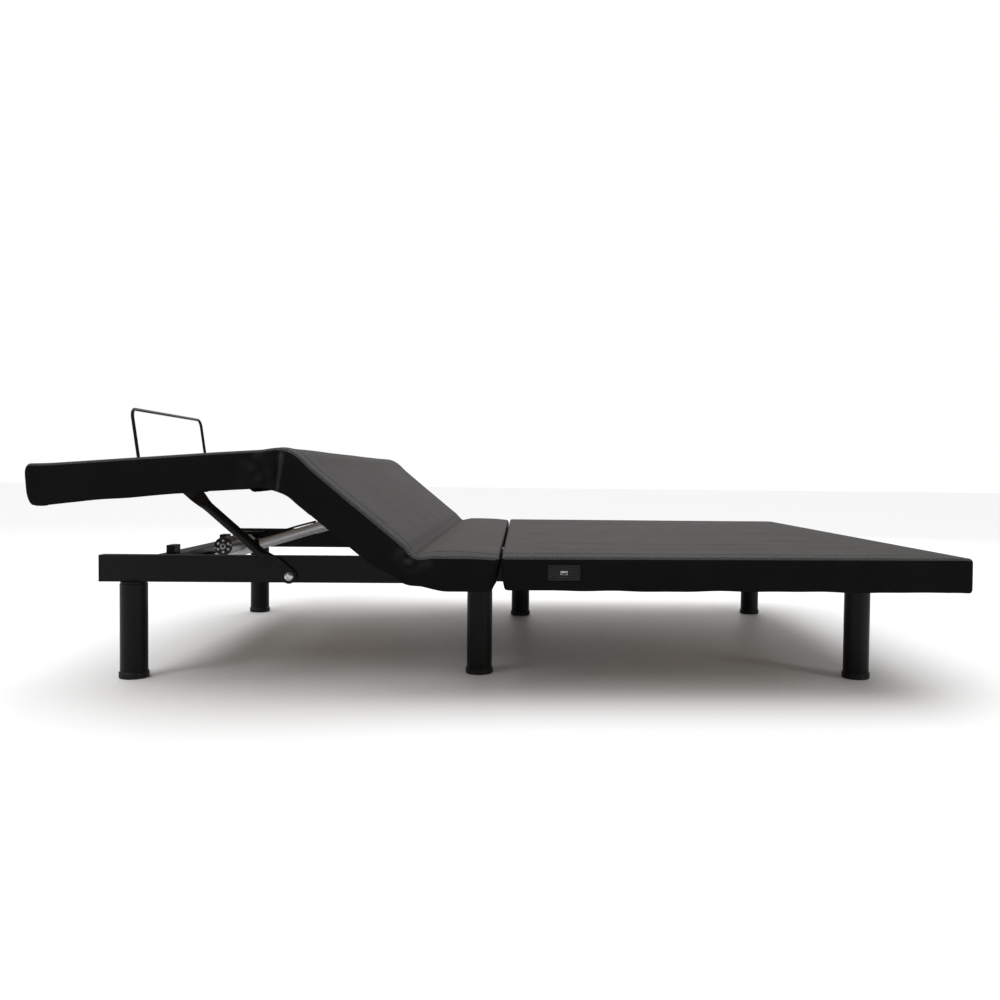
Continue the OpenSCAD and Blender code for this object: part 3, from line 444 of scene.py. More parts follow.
def cover(name, x0, x1, left, right, xs, falls, top_extra, hem, dress, wear, pose, width=None):
    """A fabric cover on the flat deck, from x0 to x1, carried into the rest pose by pose()."""
    y_in = HALF - SIDE.margin
    ys = np.unique(np.round(np.concatenate([
        np.arange(-y_in, y_in + 1e-6, 2 * y_in / 168),
        [s * (HALF - BAND + e) for s in (-1, 1) for e in STITCH_ROWS],
        [s * (HALF - e) for s in (-1, 1) for e in (0.0205, LIP)],
    ]), 5))
    xa = x0 + (left.margin if left.kind != "cut" else 0)
    xb = x1 - (right.margin if right.kind != "cut" else 0)
    xs = np.unique(np.round(np.concatenate([[xa, xb], xs[(xs > xa + 0.0015) & (xs < xb - 0.0015)]]), 6))
    na = STEPS if left.kind != "cut" else 0
    nb = STEPS if right.kind != "cut" else 0
    ia = np.concatenate([-np.arange(na, 0, -1), np.zeros(len(xs)), np.arange(1, nb + 1)]).astype(int)
    gx = np.concatenate([np.full(na, xa), xs, np.full(nb, xb)])
    ib = np.concatenate([-np.arange(STEPS, 0, -1), np.zeros(len(ys)), np.arange(1, STEPS + 1)]).astype(int)
    gy = np.concatenate([np.full(STEPS, ys[0]), ys, np.full(STEPS, ys[-1])])
    I, J = np.meshgrid(ia, ib, indexing="ij")
    X, Y = np.meshgrid(gx, gy, indexing="ij")
    k, l = np.abs(I), np.abs(J)
    rho = np.maximum(k, l)
    phi = np.where(k >= l, 0.5 * l / np.maximum(k, 1), 1 - 0.5 * k / np.maximum(l, 1))
    phi = np.where((k == 0) & (l > 0), 1.0, np.where((l == 0) & (k > 0), 0.0, phi))
    endw = 1 - smooth(phi)
    # margin and radii of whichever end is nearer
    on_left = I < 0
    mx = np.where(on_left, left.margin, right.margin)
    tr = SIDE.top_r + (np.where(on_left, left.top_r, right.top_r) - SIDE.top_r) * endw
    fr = SIDE.foot_r + (np.where(on_left, left.foot_r, right.foot_r) - SIDE.foot_r) * endw
    share = np.clip((X - x0) / (x1 - x0), 0, 1)
    side_fall = falls[0] + (falls[1] - falls[0]) * share
    end_fall = falls[2]
    depth = DROP - side_fall
    depth_end = LINING_END - side_fall - 0.001
    seam_left, seam_right = left.kind == "seam", right.kind == "seam"
    lip = np.zeros(X.shape, bool)
    if seam_left:
        lip |= I < 0
    if seam_right:
        lip |= I > 0
    # between the skirts the cloth at a seam only turns over the board's edge
    narrow = lip * (1 - smooth((np.abs(Y) - (HALF - LIP)) / 0.006)) * (l == 0)
    depth = depth + (TURN_OUTER - depth) * narrow
    depth_end = depth_end + (TURN_INNER - depth_end) * narrow
    depth = depth - hem(X) - left.lift * (I < 0) * smooth((HALF - np.abs(Y) - 0.03) / 0.06)
    path_o, path_d = edge_path(SIDE.margin, tr, fr, depth, depth_end)
    idx = np.clip(rho - 1, 0, STEPS - 1)
    rows, cols = np.indices(X.shape)
    off = path_o[idx, rows, cols] / SIDE.margin
    drop = path_d[idx, rows, cols]
    off = np.where(rho == 0, 0, off)
    drop = np.where(rho == 0, 0, drop)
    ang = phi * math.pi / 2
    stitched = HALF - np.abs(Y + np.sign(J) * off * SIDE.margin * np.sin(ang) * (l > 0))
    if width:
        border = LIP + (BAND - LIP) * width(X)
        d = HALF - np.abs(Y)
        inside = LIP + (d - LIP) * (border - LIP) / (BAND - LIP)
        beyond = border + (d - BAND) * (BORDER_REACH - border) / (BORDER_REACH - BAND)
        d = np.where(d < LIP, d, np.where(d < BAND, inside, beyond))
        Y = np.where(HALF - np.abs(Y) < BORDER_REACH, np.sign(Y) * (HALF - d), Y)
    px = X + np.sign(I) * off * mx * np.cos(ang)
    py = Y + np.sign(J) * off * SIDE.margin * np.sin(ang)
    px = np.where(k == 0, X, px)
    py = np.where(l == 0, Y, py)
    # crown and shoulders
    dist_y = np.clip(HALF - np.abs(py), 0, None)
    dist_l = np.clip(px - x0, 0, None) if left.kind == "skirt" else np.full(X.shape, 9.0)
    dist_r = np.clip(x1 - px, 0, None) if right.kind == "skirt" else np.full(X.shape, 9.0)
    def fall(d):
        return np.clip(1 - d / SHOULDER, 0, 1) ** 1.7
    top = TOP - np.maximum(side_fall * fall(dist_y), end_fall * np.maximum(fall(dist_l), fall(dist_r)))
    # the stitched border line
    dist = np.minimum(np.clip(stitched, 0, None), np.minimum(dist_l, dist_r))
    line = (dist - BAND) / 0.0022
    top = top + 0.0011 * np.exp(-line ** 2)
    for side in (1, -1):
        top = top - 0.0006 * np.exp(-((line + side * 2.2) / 1.3) ** 2)
    top = top + top_extra(px, py) * (1 - smooth(drop / 0.035))
    z = top - drop
    flat = np.stack([px, py, z], -1)
    # soft life in the skirts
    wob = np.zeros(X.shape)
    seed = sum(ord(c) for c in name) * 0.37
    for r in range(X.shape[0]):
        for c in range(X.shape[1]):
            if rho[r, c] > 2:
                wob[r, c] = noise.noise(Vector((px[r, c] * 4.5 + seed, py[r, c] * 4.5, z[r, c] * 7.0)))
    grow = smooth((drop - 0.004) / 0.02)
    amp = 0.0017 * (wob + 0.55) * grow
    flat[..., 1] += np.sign(J) * amp * np.sin(ang) * (l > 0)
    flat[..., 0] += np.sign(I) * amp * np.cos(ang) * (k > 0) * (0.0 if (seam_left or seam_right) else 1.0)
    verts = pose(dress(flat, J, rho, drop)).reshape(-1, 3)
    index = np.arange(len(verts)).reshape(X.shape)
    a, b, c_, d_ = index[:-1, :-1], index[1:, :-1], index[1:, 1:], index[:-1, 1:]
    faces = np.stack([a, b, c_, d_], -1).reshape(-1, 4)
    mid = lambda q: (q[:-1, :-1] + q[1:, :-1] + q[1:, 1:] + q[:-1, 1:]) / 4
    fd, fdist, flip = mid(drop), mid(dist), mid(narrow.astype(float))
    # numbers as in M_COVER: 0 top, 1 border, 2 skirt, 3 piping
    mat = np.where(fdist < BAND - 0.0012, 1, 0)
    mat = np.where(np.abs(fdist - BAND) < 0.0013, 3, mat)
    mat = np.where(fd > np.where(flip < 0.5, 0.0045, 0.006), 2, mat)
    run_x = px + np.sign(I) * np.where(k >= l, drop, 0)
    run_y = py + np.sign(J) * np.where(l > k, drop, 0)
    uv = np.stack([run_x, run_y], -1).reshape(-1, 2)
    o = add_mesh(name, verts, [tuple(q) for q in faces.tolist()], M_COVER, mat.reshape(-1), uv)
    # strength of the painted highlight on the skirt's folds, stored per vertex
    painted_highlight = o.data.color_attributes.new("wear", "FLOAT_COLOR", "POINT")
    amount = np.clip(wear(px, drop / DROP), 0, 1).reshape(-1, 1)
    painted_highlight.data.foreach_set("color", np.hstack([amount] * 3 + [np.ones_like(amount)]).astype(np.float32).ravel())
    bm = bmesh.new()
    bm.from_mesh(o.data)
    bmesh.ops.remove_doubles(bm, verts=bm.verts, dist=1e-5)
    bmesh.ops.recalc_face_normals(bm, faces=bm.faces)
    bm.to_mesh(o.data)
    bm.free()
    return o


def fold(p, axis, line, reach, amount):
    w = smooth((p[..., 0] - axis[0]) / (2 * reach) + 0.5)
    for _ in range(FOLD_ROUNDS):
        q = turn(p, axis, amount * (1 - w))
        along = (q[..., 0] - axis[0]) * line[0] + (q[..., 2] - axis[2]) * line[2]
        w = 0.5 * w + 0.5 * smooth(along / (2 * reach) + 0.5)
    return q


FOLD_ROUNDS = 60
HIP_REACH, KNEE_REACH = 0.032, 0.056
HIP_LINE = np.array([math.cos(THIGH / 2), 0, -math.sin(THIGH / 2)])
KNEE_SLOPE = (THIGH - CALF_FALL) / 2
KNEE_LINE = np.array([math.cos(KNEE_SLOPE), 0, -math.sin(KNEE_SLOPE)])
SPLIT = KNEE_FLAT[0] + 0.105


def pose_seat(flat):
    return fold(flat, HIP, HIP_LINE, HIP_REACH, THIGH)


def pose_calf(flat):
    # fold about the flat knee, in the flat thigh's frame, then lift the whole
    line = turn(KNEE_LINE[None, :], np.zeros(3), -THIGH)[0]
    return thigh_pose(fold(flat, KNEE_FLAT, line, KNEE_REACH, -BEND))


def ripples(x, y, sx, sy, seed, amp, power=2.0):
    res = np.array([(1 - min(1.0, abs(noise.noise(Vector((a * sx + seed, b * sy, seed * 0.7)))) * 2.4)) ** power
                    for a, b in zip(x.ravel(), y.ravel())])
    return amp * res.reshape(x.shape)


def hollows(x, y, scale, seed, amp):
    res = np.array([noise.noise(Vector((a * scale + seed, b * scale, 3.1))) for a, b in zip(x.ravel(), y.ravel())])
    return amp * res.reshape(x.shape)


def calm(y):
    """1 on the deck's top, 0 at its side edges."""
    return smooth((HALF - 0.06 - np.abs(y)) / 0.12)


def head_top(x, y):
    keep = calm(y) * smooth((x - SEAM[0] - 0.015) / 0.08) * smooth((HEAD_END - 0.06 - x) / 0.1)
    return keep * (ripples(x, y, 0.8, 7.5, 2.3, 0.0024, 5.0) + hollows(x, y, 3.2, 7.0, 0.0016))


def seat_top(x, y):
    u = (x - HIP[0]) / (SEAM[0] - HIP[0])
    bulge = np.clip(u, 0, 1) ** 0.6 * np.clip(1 - u, 0, 1) ** 1.1
    swell = 0.0125 * bulge * smooth((HALF - np.abs(y)) / 0.085)
    # the crease at the fold itself, with cloth gathered beside it
    v = (x - HIP[0]) / 0.008
    crease = -0.0042 * np.exp(-v ** 2) * smooth((HALF - np.abs(y) - 0.01) / 0.03)
    gather = np.exp(-((x - HIP[0] - 0.022) / 0.020) ** 2) * hollows(x * 0.7, y, 21.0, 4.0, 0.0022)
    thigh_side = smooth((HIP[0] - 0.01 - x) / 0.05) * smooth((x - SPLIT - 0.012) / 0.04)
    soft = thigh_side * hollows(x, y, 5.5, 9.0, 0.0016)
    pinch = -0.0020 * smooth((x - SEAM[0] + 0.055) / 0.05) * smooth((np.abs(y) - HALF + 0.10) / 0.07)
    return swell + crease + gather + soft + pinch


def calf_top(x, y):
    keep = calm(y) * smooth((x - FOOT_END - 0.06) / 0.1) * smooth((SPLIT - 0.012 - x) / 0.05)
    v = (x - KNEE_FLAT[0] + 0.012) / 0.03
    pull = np.exp(-v ** 2) * smooth((np.abs(y) - HALF + 0.22) / 0.16) * hollows(x * 0.5, y, 30.0, 12.0, 0.0016)
    return keep * hollows(x, y, 3.4, 5.0, 0.0016) + pull


def waves(x, seed, amp):
    return amp * (np.sin(x * 31 + seed) * 0.5 + np.sin(x * 57 + 2.1 * seed) * 0.35 + np.sin(x * 13 + seed) * 0.5)


def head_hem(x):
    return 0.0030 + waves(x, 1.0, 0.0013) * smooth((x - SEAM[0]) / 0.1) * smooth((HEAD_END - x) / 0.2)


# The hem hangs lower at the foot's corners
FOOT_DIP = 0.0045


def calf_hem(x):
    wave = waves(x, 4.0, 0.0012) * smooth((x - FOOT_END) / 0.1)
    dip = FOOT_DIP * smooth(1 - (x - FOOT_END) / 0.085)
    return wave - dip - 0.0125 * np.exp(-((x - KNEE_FLAT[0]) / 0.048) ** 2)


def seat_hem(x):
    u = x - HIP[0]
    return 0.0125 * np.where(u > 0, smooth(1 - u / 0.075), smooth(1 + u / 0.085))


HEAD_LIFT = math.radians(60)


def seam_shape(sign, at_top, at_mid, at_hem):
    """The skirts' ends lean away from the seam towards the hem."""
    def shape(flat, J, rho, drop):
        t = np.clip(drop / DROP, 0, 1)
        skirt = smooth((np.abs(flat[..., 1]) - (HALF - LIP)) / 0.006)
        lean = at_top + (at_mid - at_top) * smooth((t - 0.05) / 0.45)
        lean = lean + (at_hem - at_mid) * np.clip((t - 0.5) / 0.5, 0, 1) ** 2.2
        span = smooth(1 - np.abs(flat[..., 0] - SEAM[0]) / 0.06)
        flat[..., 0] -= sign * lean * skirt * span
        # the padded edges give way where the fold presses them together
        room = math.tan(HEAD_LIFT / 2) * np.clip(flat[..., 2] - SEAM[2], 0, None)
        short = np.clip(room - sign * (SEAM[0] - flat[..., 0]), 0, None) * (rho > 0)
        flat[..., 0] -= sign * 0.2 * short
        return flat
    return shape


def seat_shape(flat, J, rho, drop):
    flat = seam_shape(1, 0.0, 0.0085, 0.018)(flat, J, rho, drop)
    # cloth bunched on the side below the hip crease
    u = flat[..., 0] - HIP[0]
    t = np.clip(drop / DROP, 0, 1)
    fan = np.arctan2(u + 0.012, 0.03 + drop)
    bunches = np.sin(fan * 15.0 + 0.6) * 0.5 + 0.5
    amp = 0.0042 * np.exp(-((u + 0.018) / 0.034) ** 2) * smooth((t - 0.02) / 0.12) * smooth((0.95 - t) / 0.5)
    outward = (np.abs(J) > 0) & (rho > 2)
    flat[..., 1] += np.sign(J) * np.where(outward, amp * bunches, 0)
    return flat


def calf_shape(flat, J, rho, drop):
    # soft upright pleats where the side turns over the knee
    u = flat[..., 0] - KNEE_FLAT[0]
    t = np.clip(drop / DROP, 0, 1)
    line = u + 0.010 - 0.016 * t
    pleat = 0.0062 * np.exp(-(line / 0.0042) ** 2) - 0.0030 * np.exp(-((line + 0.0085) / 0.0045) ** 2)
    pleat += 0.0026 * np.exp(-((line - 0.020) / 0.007) ** 2)
    hollow = np.exp(-((u + 0.055) / 0.045) ** 2) * hollows(flat[..., 0], flat[..., 2], 38.0, 6.0, 0.0035)
    # the foot end's outline is rounded, over and under
    dx = flat[..., 0] - (FOOT_END - PAST_END)
    r_over, r_under, crest, base = 0.017, 0.025, TOP + 0.003, HEM - FOOT_DIP
    over, under = (np.clip(r - dx, 0, r) for r in (r_over, r_under))
    high = crest - (r_over - np.sqrt(r_over ** 2 - over ** 2))
    low = base + (r_under - np.sqrt(r_under ** 2 - under ** 2))
    share = (flat[..., 2] - base) / (crest - base)
    flat[..., 2] = np.where(dx < r_under, low + (high - low) * share, flat[..., 2])
    outward = (np.abs(J) > 0) & (rho > 2)
    depth = (pleat + hollow) * smooth((t - 0.03) / 0.2) * smooth((1.02 - t) / 0.25)
    flat[..., 1] += np.sign(J) * np.where(outward, depth, 0)
    return flat


def seat_fold_highlight(x, t):
    """Painted highlight on the dark cloth bunched below the hip crease."""
    u = x - HIP[0]
    patch = np.exp(-((u + 0.016) / 0.026) ** 2) + 0.45 * np.exp(-((u - 0.030) / 0.014) ** 2)
    return patch * smooth((t - 0.03) / 0.1) * smooth((0.55 - t) / 0.4) * (0.45 + hollows(x, t * 0.09, 60.0, 2.0, 1.2))


def calf_fold_highlight(x, t):
    # painted highlight along the crest of the knee's pleat and on the wrinkles beside it
    u = x - KNEE_FLAT[0]
    line = u + 0.010 - 0.016 * t
    crest = np.exp(-((line - 0.001) / 0.0035) ** 2) * smooth((t - 0.05) / 0.1)
    patch = 0.45 * np.exp(-((u + 0.055) / 0.035) ** 2) * (0.25 + hollows(x, t * 0.09, 50.0, 8.0, 1.2)) * (t > 0.08)
    return 0.9 * crest + patch


def seat_band(x):
    """The border narrows into the hip's crease and again at the head seam."""
    u = np.clip((x - HIP[0]) / (SEAM[0] - HIP[0]), 0, 1)
    leaf = np.sin(math.pi * u ** 0.75) ** 0.55
    return np.where(x > HIP[0], 0.05 + 0.95 * leaf, 0.05 + 0.95 * smooth((HIP[0] - x) / 0.085))


def no_highlight(x, t):
    return 0 * x


def head_shape(flat, J, rho, drop):
    return seam_shape(-1, 0.0, 0.003, 0.010)(flat, J, rho, drop)


STEP = 0.0095
SEAM_END = End("seam", 0.011, 0.010, 0.0022)
FOOT_STYLE = End("skirt", 0.014, 0.0135, 0.024, 0.013)
HEAD_STYLE = End("skirt", 0.014, 0.010, 0.010)
# Half of the gap between the head's and the seat's cloth
SEAM_GAP = 0.0014


def band_lines(at, s):
    return np.array([at + s * (BAND + e) for e in STITCH_ROWS])



head_cover = cover(
    "head cover", SEAM[0] + SEAM_GAP, HEAD_END + PAST_END, SEAM_END, HEAD_STYLE,
    np.concatenate([np.arange(SEAM[0], HEAD_END, STEP), band_lines(HEAD_END + PAST_END, -1)]),
    (0.0048, 0.0006, 0.002), head_top, head_hem, head_shape, no_highlight, lambda p: p)
near_hip = np.arange(HIP[0] - 0.06, HIP[0] + 0.07, 0.0032)
far_hip = np.concatenate([np.arange(SPLIT, HIP[0] - 0.06, STEP), np.arange(HIP[0] + 0.07, SEAM[0], 0.007)])
seat_cover = cover(
    "seat and thigh cover", SPLIT, SEAM[0] - SEAM_GAP, End("cut"), SEAM_END,
    np.concatenate([near_hip, far_hip]), (0.0030, 0.0048, 0.0), seat_top, seat_hem, seat_shape, seat_fold_highlight, pose_seat,
    seat_band)
near_knee = np.concatenate([np.arange(KNEE_FLAT[0] - 0.06, KNEE_FLAT[0] - 0.026, 0.0034),
                            np.arange(KNEE_FLAT[0] - 0.026, KNEE_FLAT[0] + 0.026, 0.0021),
                            np.arange(KNEE_FLAT[0] + 0.026, KNEE_FLAT[0] + 0.06, 0.0034)])
far_knee = np.concatenate([np.arange(FOOT_END, KNEE_FLAT[0] - 0.06, STEP),
                           np.arange(KNEE_FLAT[0] + 0.06, SPLIT, STEP)])
calf_cover = cover(
    "calf cover", FOOT_END - PAST_END, SPLIT, FOOT_STYLE, End("cut"),
    np.concatenate([near_knee, far_knee, band_lines(FOOT_END - PAST_END, 1)]), (-0.0048, 0.0030, -0.003), calf_top,
    calf_hem, calf_shape, calf_fold_highlight, pose_calf)

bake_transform(head_cover)
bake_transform(seat_cover)
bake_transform(calf_cover)
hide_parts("head_cover")
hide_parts("seat_cover", "thigh_cover")
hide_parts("calf_cover")
for o, called in ((head_cover, "head cloth"), (seat_cover, "seat and thigh cloth"), (calf_cover, "calf cloth")):
    o.name = called

# ---------------------------------------------------------------- boards


OUTER_FACE, BOTH_FACES = 0.0075, 0.02


def pull_in(to_flat, to_rest, ends):
    """Keep a board's ends behind the cloth; each end is (station, inset, lift of the low edge, inset of the sides)."""
    def move(co):
        p = to_flat(co)
        for at, inset, lift, narrow in ends:
            # a big move takes the fascia's inner face along with its outer one
            away = np.abs(p[:, 0] - at)
            near = away < (BOTH_FACES if inset > 0.03 else OUTER_FACE)
            low = (away < (BOTH_FACES if lift > 0.02 else OUTER_FACE)) & (p[:, 2] < HEM + 0.012)
            side = near & (np.abs(p[:, 1]) > HALF - 0.006)
            top = near & (np.abs(p[:, 1]) > HALF - 0.03) & (p[:, 2] > TOP - 0.012)
            p[near, 0] += inset
            p[low, 2] += lift
            p[side, 1] -= np.sign(p[side, 1]) * narrow
            p[top, 2] -= narrow
        return to_rest(p)
    return move


def same(p):
    return np.array(p, float)


for part, to_flat, to_rest, ends in (
        ("head", same, same, [(SEAM[0], 0.032, 0.0, 0.002), (HEAD_END, -0.001, 0.010, 0.001)]),
        ("seat", same, same, [(SEAM[0], -0.022, 0.0, 0.004), (HIP[0], 0.002, 0.016, 0.008)]),
        ("thigh", thigh_flat, thigh_pose, [(HIP[0], -0.002, 0.016, 0.008), (KNEE_FLAT[0], 0.004, 0.026, 0.006)]),
        ("calf", calf_flat, calf_pose,
         [(KNEE_FLAT[0], -0.004, 0.026, 0.006), (FOOT_END + 0.004, 0.001, 0.024, 0.001)])):
    for kind in ("board", "fascias"):
        softened(part + "_" + kind, M_WOOD, 0.001, pull_in(to_flat, to_rest, ends))

# ---------------------------------------------------------------- steelwork

for name in ("foot_rail_near", "foot_rail_far", "head_rail_near", "head_rail_far", "foot_cross_tube",
             "drive_cross_tube", "centre_cross_tube", "head_cross_tube"):
    softened(name, M_STEEL, 0.0032)
for name in ("thigh_frame_tubes", "calf_frame_tubes", "head_frame_tubes"):
    softened(name, M_STEEL, 0.002)
for name in ("corner_gussets", "leg_plates", "seat_hinge_brackets", "drive_brackets", "head_lift_bar",
             "thigh_lift_bar", "head_hinge_arms", "link_brackets"):
    softened(name, M_STEEL, 0.0009)
for name in ("leg_foot_near", "leg_foot_far", "leg_mid_near", "leg_mid_far", "leg_head_near", "leg_head_far",
             "retainer_sockets", "retainer_bar"):
    paint(name, M_STEEL)
softened("rest_posts", M_STEEL, 0.002)
paint("leg_glides", M_PLASTIC)
softened("rail_pads", M_RUBBER, 0.0015)
for name in ("rail_joint_bolts", "link_pivot_bolts", "head_hinge_pins", "thigh_hinge_pins", "link_top_bolts"):
    paint(name, M_ZINC)

# ---------------------------------------------------------------- support links


def loft(name, stations, mat, count=48):
    """A closed skin through superellipse sections: (x, y, half_y, half_z, power)."""
    verts = []
    for x, y, hy, hz, power in stations:
        for i in range(count):
            a = 2 * math.pi * i / count
            c, s = (math.copysign(abs(v) ** (2 / power), v) for v in (math.cos(a), math.sin(a)))
            verts.append((x, y + hy * c, hz * s))
    n = len(stations)
    faces = [(i * count + j, i * count + (j + 1) % count, (i + 1) * count + (j + 1) % count, (i + 1) * count + j)
             for i in range(n - 1) for j in range(count)]
    faces.append(tuple(range(count - 1, -1, -1)))
    faces.append(tuple((n - 1) * count + j for j in range(count)))
    return add_mesh(name, verts, faces, [mat])


def support_link(side, node, body):
    q = np.array(joints[body + "_swing"]["pos_m"], float)
    lo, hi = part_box(node)
    tab, thick, tube_r = 0.017, 0.005, 0.011
    length = math.hypot(q[0] - (lo.x + tab), (hi.z - tab) - q[2])
    angle = math.atan2(hi.z - tab - q[2], q[0] - lo.x - tab)
    inner = min(abs(lo.y), abs(hi.y))
    stations = []
    for s in np.concatenate([[-tab * math.cos(t) for t in np.linspace(0.02, math.pi / 2, 14)],
                             np.linspace(0.003, length - 0.003, 120),
                             [length + tab * math.sin(t) for t in np.linspace(0, math.pi / 2 - 0.02, 14)]]):
        over = max(-s, s - length, 0)
        near_end = min(s, length - s)
        f = float(smooth((near_end - 0.034) / 0.046))
        hz = math.sqrt(max(tab ** 2 - over ** 2, 1e-9)) if over > 0 else tab + (tube_r - tab) * f
        hy = thick / 2 + (tube_r - thick / 2) * f
        y = inner + hy
        stations.append((s, side * y, hy, hz, 2 + 7 * (1 - f)))
    o = loft(body + " tube", stations, M_STEEL)
    o.matrix_world = Matrix.Translation(Vector(q)) @ Matrix.Rotation(math.pi + angle, 4, "Y")
    bpy.context.view_layer.update()
    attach(o, body)
    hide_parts(node)


support_link(-1, "support_link_near", "link_near")
support_link(1, "support_link_far", "link_far")

# ---------------------------------------------------------------- drives


def stand_between(o, p0, p1):
    """Put an object's Z axis along the line from p0 to p1."""
    o.matrix_world = Matrix.Translation((p0 + p1) / 2) @ (p1 - p0).to_track_quat("Z", "Y").to_matrix().to_4x4()
    bpy.context.view_layer.update()
    return o


def cylinder(name, mat, p0, p1, r, verts=48, bevel=0.0):
    p0, p1 = Vector(p0), Vector(p1)
    bm = bmesh.new()
    bmesh.ops.create_cone(bm, cap_ends=True, segments=verts, radius1=r, radius2=r, depth=(p1 - p0).length)
    me = bpy.data.meshes.new(name)
    bm.to_mesh(me)
    bm.free()
    me.materials.append(mat)
    me.polygons.foreach_set("use_smooth", np.ones(len(me.polygons), bool))
    me.set_sharp_from_angle(angle=math.radians(40))
    o = bpy.data.objects.new(name, me)
    scene.collection.objects.link(o)
    if bevel:
        b = o.modifiers.new("edges", "BEVEL")
        b.width, b.segments, b.limit_method, b.angle_limit = bevel, 3, "ANGLE", math.radians(50)
    return stand_between(o, p0, p1)


def sleeve(name, mat, p0, p1, r, hole):
    """A hollow ring round an axis, open so that a rod can pass."""
    p0, p1 = Vector(p0), Vector(p1)
    length, n = (p1 - p0).length, 56
    edge = min(0.0012, (r - hole) * 0.4)
    profile = [(hole, 0), (r - edge, 0), (r, edge), (r, length - edge), (r - edge, length), (hole, length)]
    verts = [(a * math.cos(2 * math.pi * i / n), a * math.sin(2 * math.pi * i / n), z - length / 2)
             for a, z in profile for i in range(n)]
    m = len(profile)
    faces = [(j * n + i, j * n + (i + 1) % n, ((j + 1) % m) * n + (i + 1) % n, ((j + 1) % m) * n + i)
             for j in range(m) for i in range(n)]
    o = add_mesh(name, verts, faces, [mat])
    o.data.set_sharp_from_angle(angle=math.radians(30))
    return stand_between(o, p0, p1)


def dress_drive(prefix, tilt_joint, stroke_joint):
    """Materials and small parts of one drive; returns its place finder and its body."""
    pin = np.array(joints[tilt_joint]["pos_m"], float)
    axis = np.array(joints[stroke_joint]["axis"], float)
    up = np.array([-axis[2], 0, axis[0]])
    at = lambda a, b, y: Vector(pin + axis * a + up * b + np.array([0, y, 0]))
    body = prefix + "_drive"
    softened(prefix + "_gearbox", M_ALU, 0.0025)
    paint(prefix + "_motor", M_MOTOR)
    paint(prefix + "_drive_tube", M_ALU)
    paint(prefix + "_drive_rod", M_ROD)
    pts = points(prefix + "_motor")
    mid = (pts.max(0) + pts.min(0)) / 2
    front = pts[:, 1].min()
    # end bell of the motor: a raised ring, a hub, six bosses and two screws
    c = Vector((mid[0], 0, mid[2]))
    y = front + 0.003

    def stud(label, mat, centre, out, back, r, verts=48, bevel=0.0):
        """A round piece on the motor's end, reaching out from its face and back into it."""
        start, end = (centre + Vector((0, v, 0)) for v in (y - out, y + back))
        o = cylinder(prefix + " motor " + label, mat, start, end, r, verts, bevel)
        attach(o, body)

    stud("bell", M_MOTOR, c, 0.0012, 0.004, 0.0237, bevel=0.001)
    for s in (-1, 1):
        stud("screw", M_ZINC, c + Vector((s * 0.0196, 0, s * 0.004)), 0.0032, 0, 0.0028, 24, 0.0006)
    stud("hub", M_ZINC, c, 0.0048, 0, 0.0078, bevel=0.0014)
    stud("shaft", M_MOTOR, c, 0.0052, 0, 0.0036, bevel=0.0006)
    for i in range(6):
        a = math.radians(60 * i + 30)
        stud("boss", M_ALU, c + Vector((0.0148 * math.cos(a), 0, 0.0148 * math.sin(a))), 0.0022, 0, 0.0034, 20, 0.0010)
    # screws of the gearbox
    for a, b in ((0.05, 0.030), (0.104, 0.008), (0.104, -0.009), (0.045, -0.008)):
        screw = cylinder(prefix + " gearbox screw", M_ZINC, at(a, b, -0.0232), at(a, b, -0.0215), 0.0032, 24, 0.0006)
        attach(screw, body)
    collar = sleeve(prefix + " gearbox collar", M_PLASTIC, at(0.1185, 0, 0), at(0.132, 0, 0), 0.0185, 0.0144)
    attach(collar, body)
    # guide ring at the tube's end
    end = float(((points(prefix + "_drive_tube") - pin) @ axis).max())
    guide = sleeve(prefix + " rod guide", M_PLASTIC, at(end + 0.0003, 0, 0), at(end + 0.005, 0, 0), 0.0150, 0.0104)
    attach(guide, body)
    return at, body


at, body = dress_drive("foot", "foot_drive_tilt", "foot_drive_stroke")
dress_drive("head", "head_drive_tilt", "head_drive_stroke")

# A small plug in the side of each middle leg
for leg in ("leg_mid_near", "leg_mid_far"):
    lo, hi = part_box(leg)
    out = 1 if lo.y > 0 else -1
    face = hi.y if out > 0 else lo.y
    spot = Vector(((lo.x + hi.x) / 2 + 0.004, face, hi.z - 0.013))
    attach(cylinder(leg + " plug", M_PLASTIC, spot - Vector((0, out * 0.004, 0)), spot + Vector((0, out * 0.0018, 0)),
                     0.0042, verts=24, bevel=0.0012), "frame")

# The motor's lead, clipped along the top of the foot drive's tube
lead_points = [at(0.100, 0.041, -0.006), at(0.122, 0.036, -0.004), at(0.150, 0.0195, 0.0), at(0.190, 0.0182, 0.001),
               at(0.235, 0.0200, -0.001), at(0.270, 0.0186, 0.0), at(0.297, 0.0176, 0.0)]
cu = bpy.data.curves.new("motor lead", "CURVE")
cu.dimensions = "3D"
cu.bevel_depth = 0.0027
cu.bevel_resolution = 6
cu.resolution_u = 10
sp = cu.splines.new("NURBS")
sp.points.add(len(lead_points) - 1)
for p, q in zip(sp.points, lead_points):
    p.co = (*q, 1)
sp.use_endpoint_u = True
sp.order_u = 4
cu.materials.append(M_RUBBER)
lead = bpy.data.objects.new("motor lead", cu)
scene.collection.objects.link(lead)
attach(lead, body)
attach(sleeve("lead clip", M_ALU, at(0.289, 0, 0), at(0.2945, 0, 0), 0.0155, 0.0144), body)

# ---------------------------------------------------------------- power

softened("control_box", M_PLASTIC, 0.003)
paint("power_inlet", M_GLOSS)


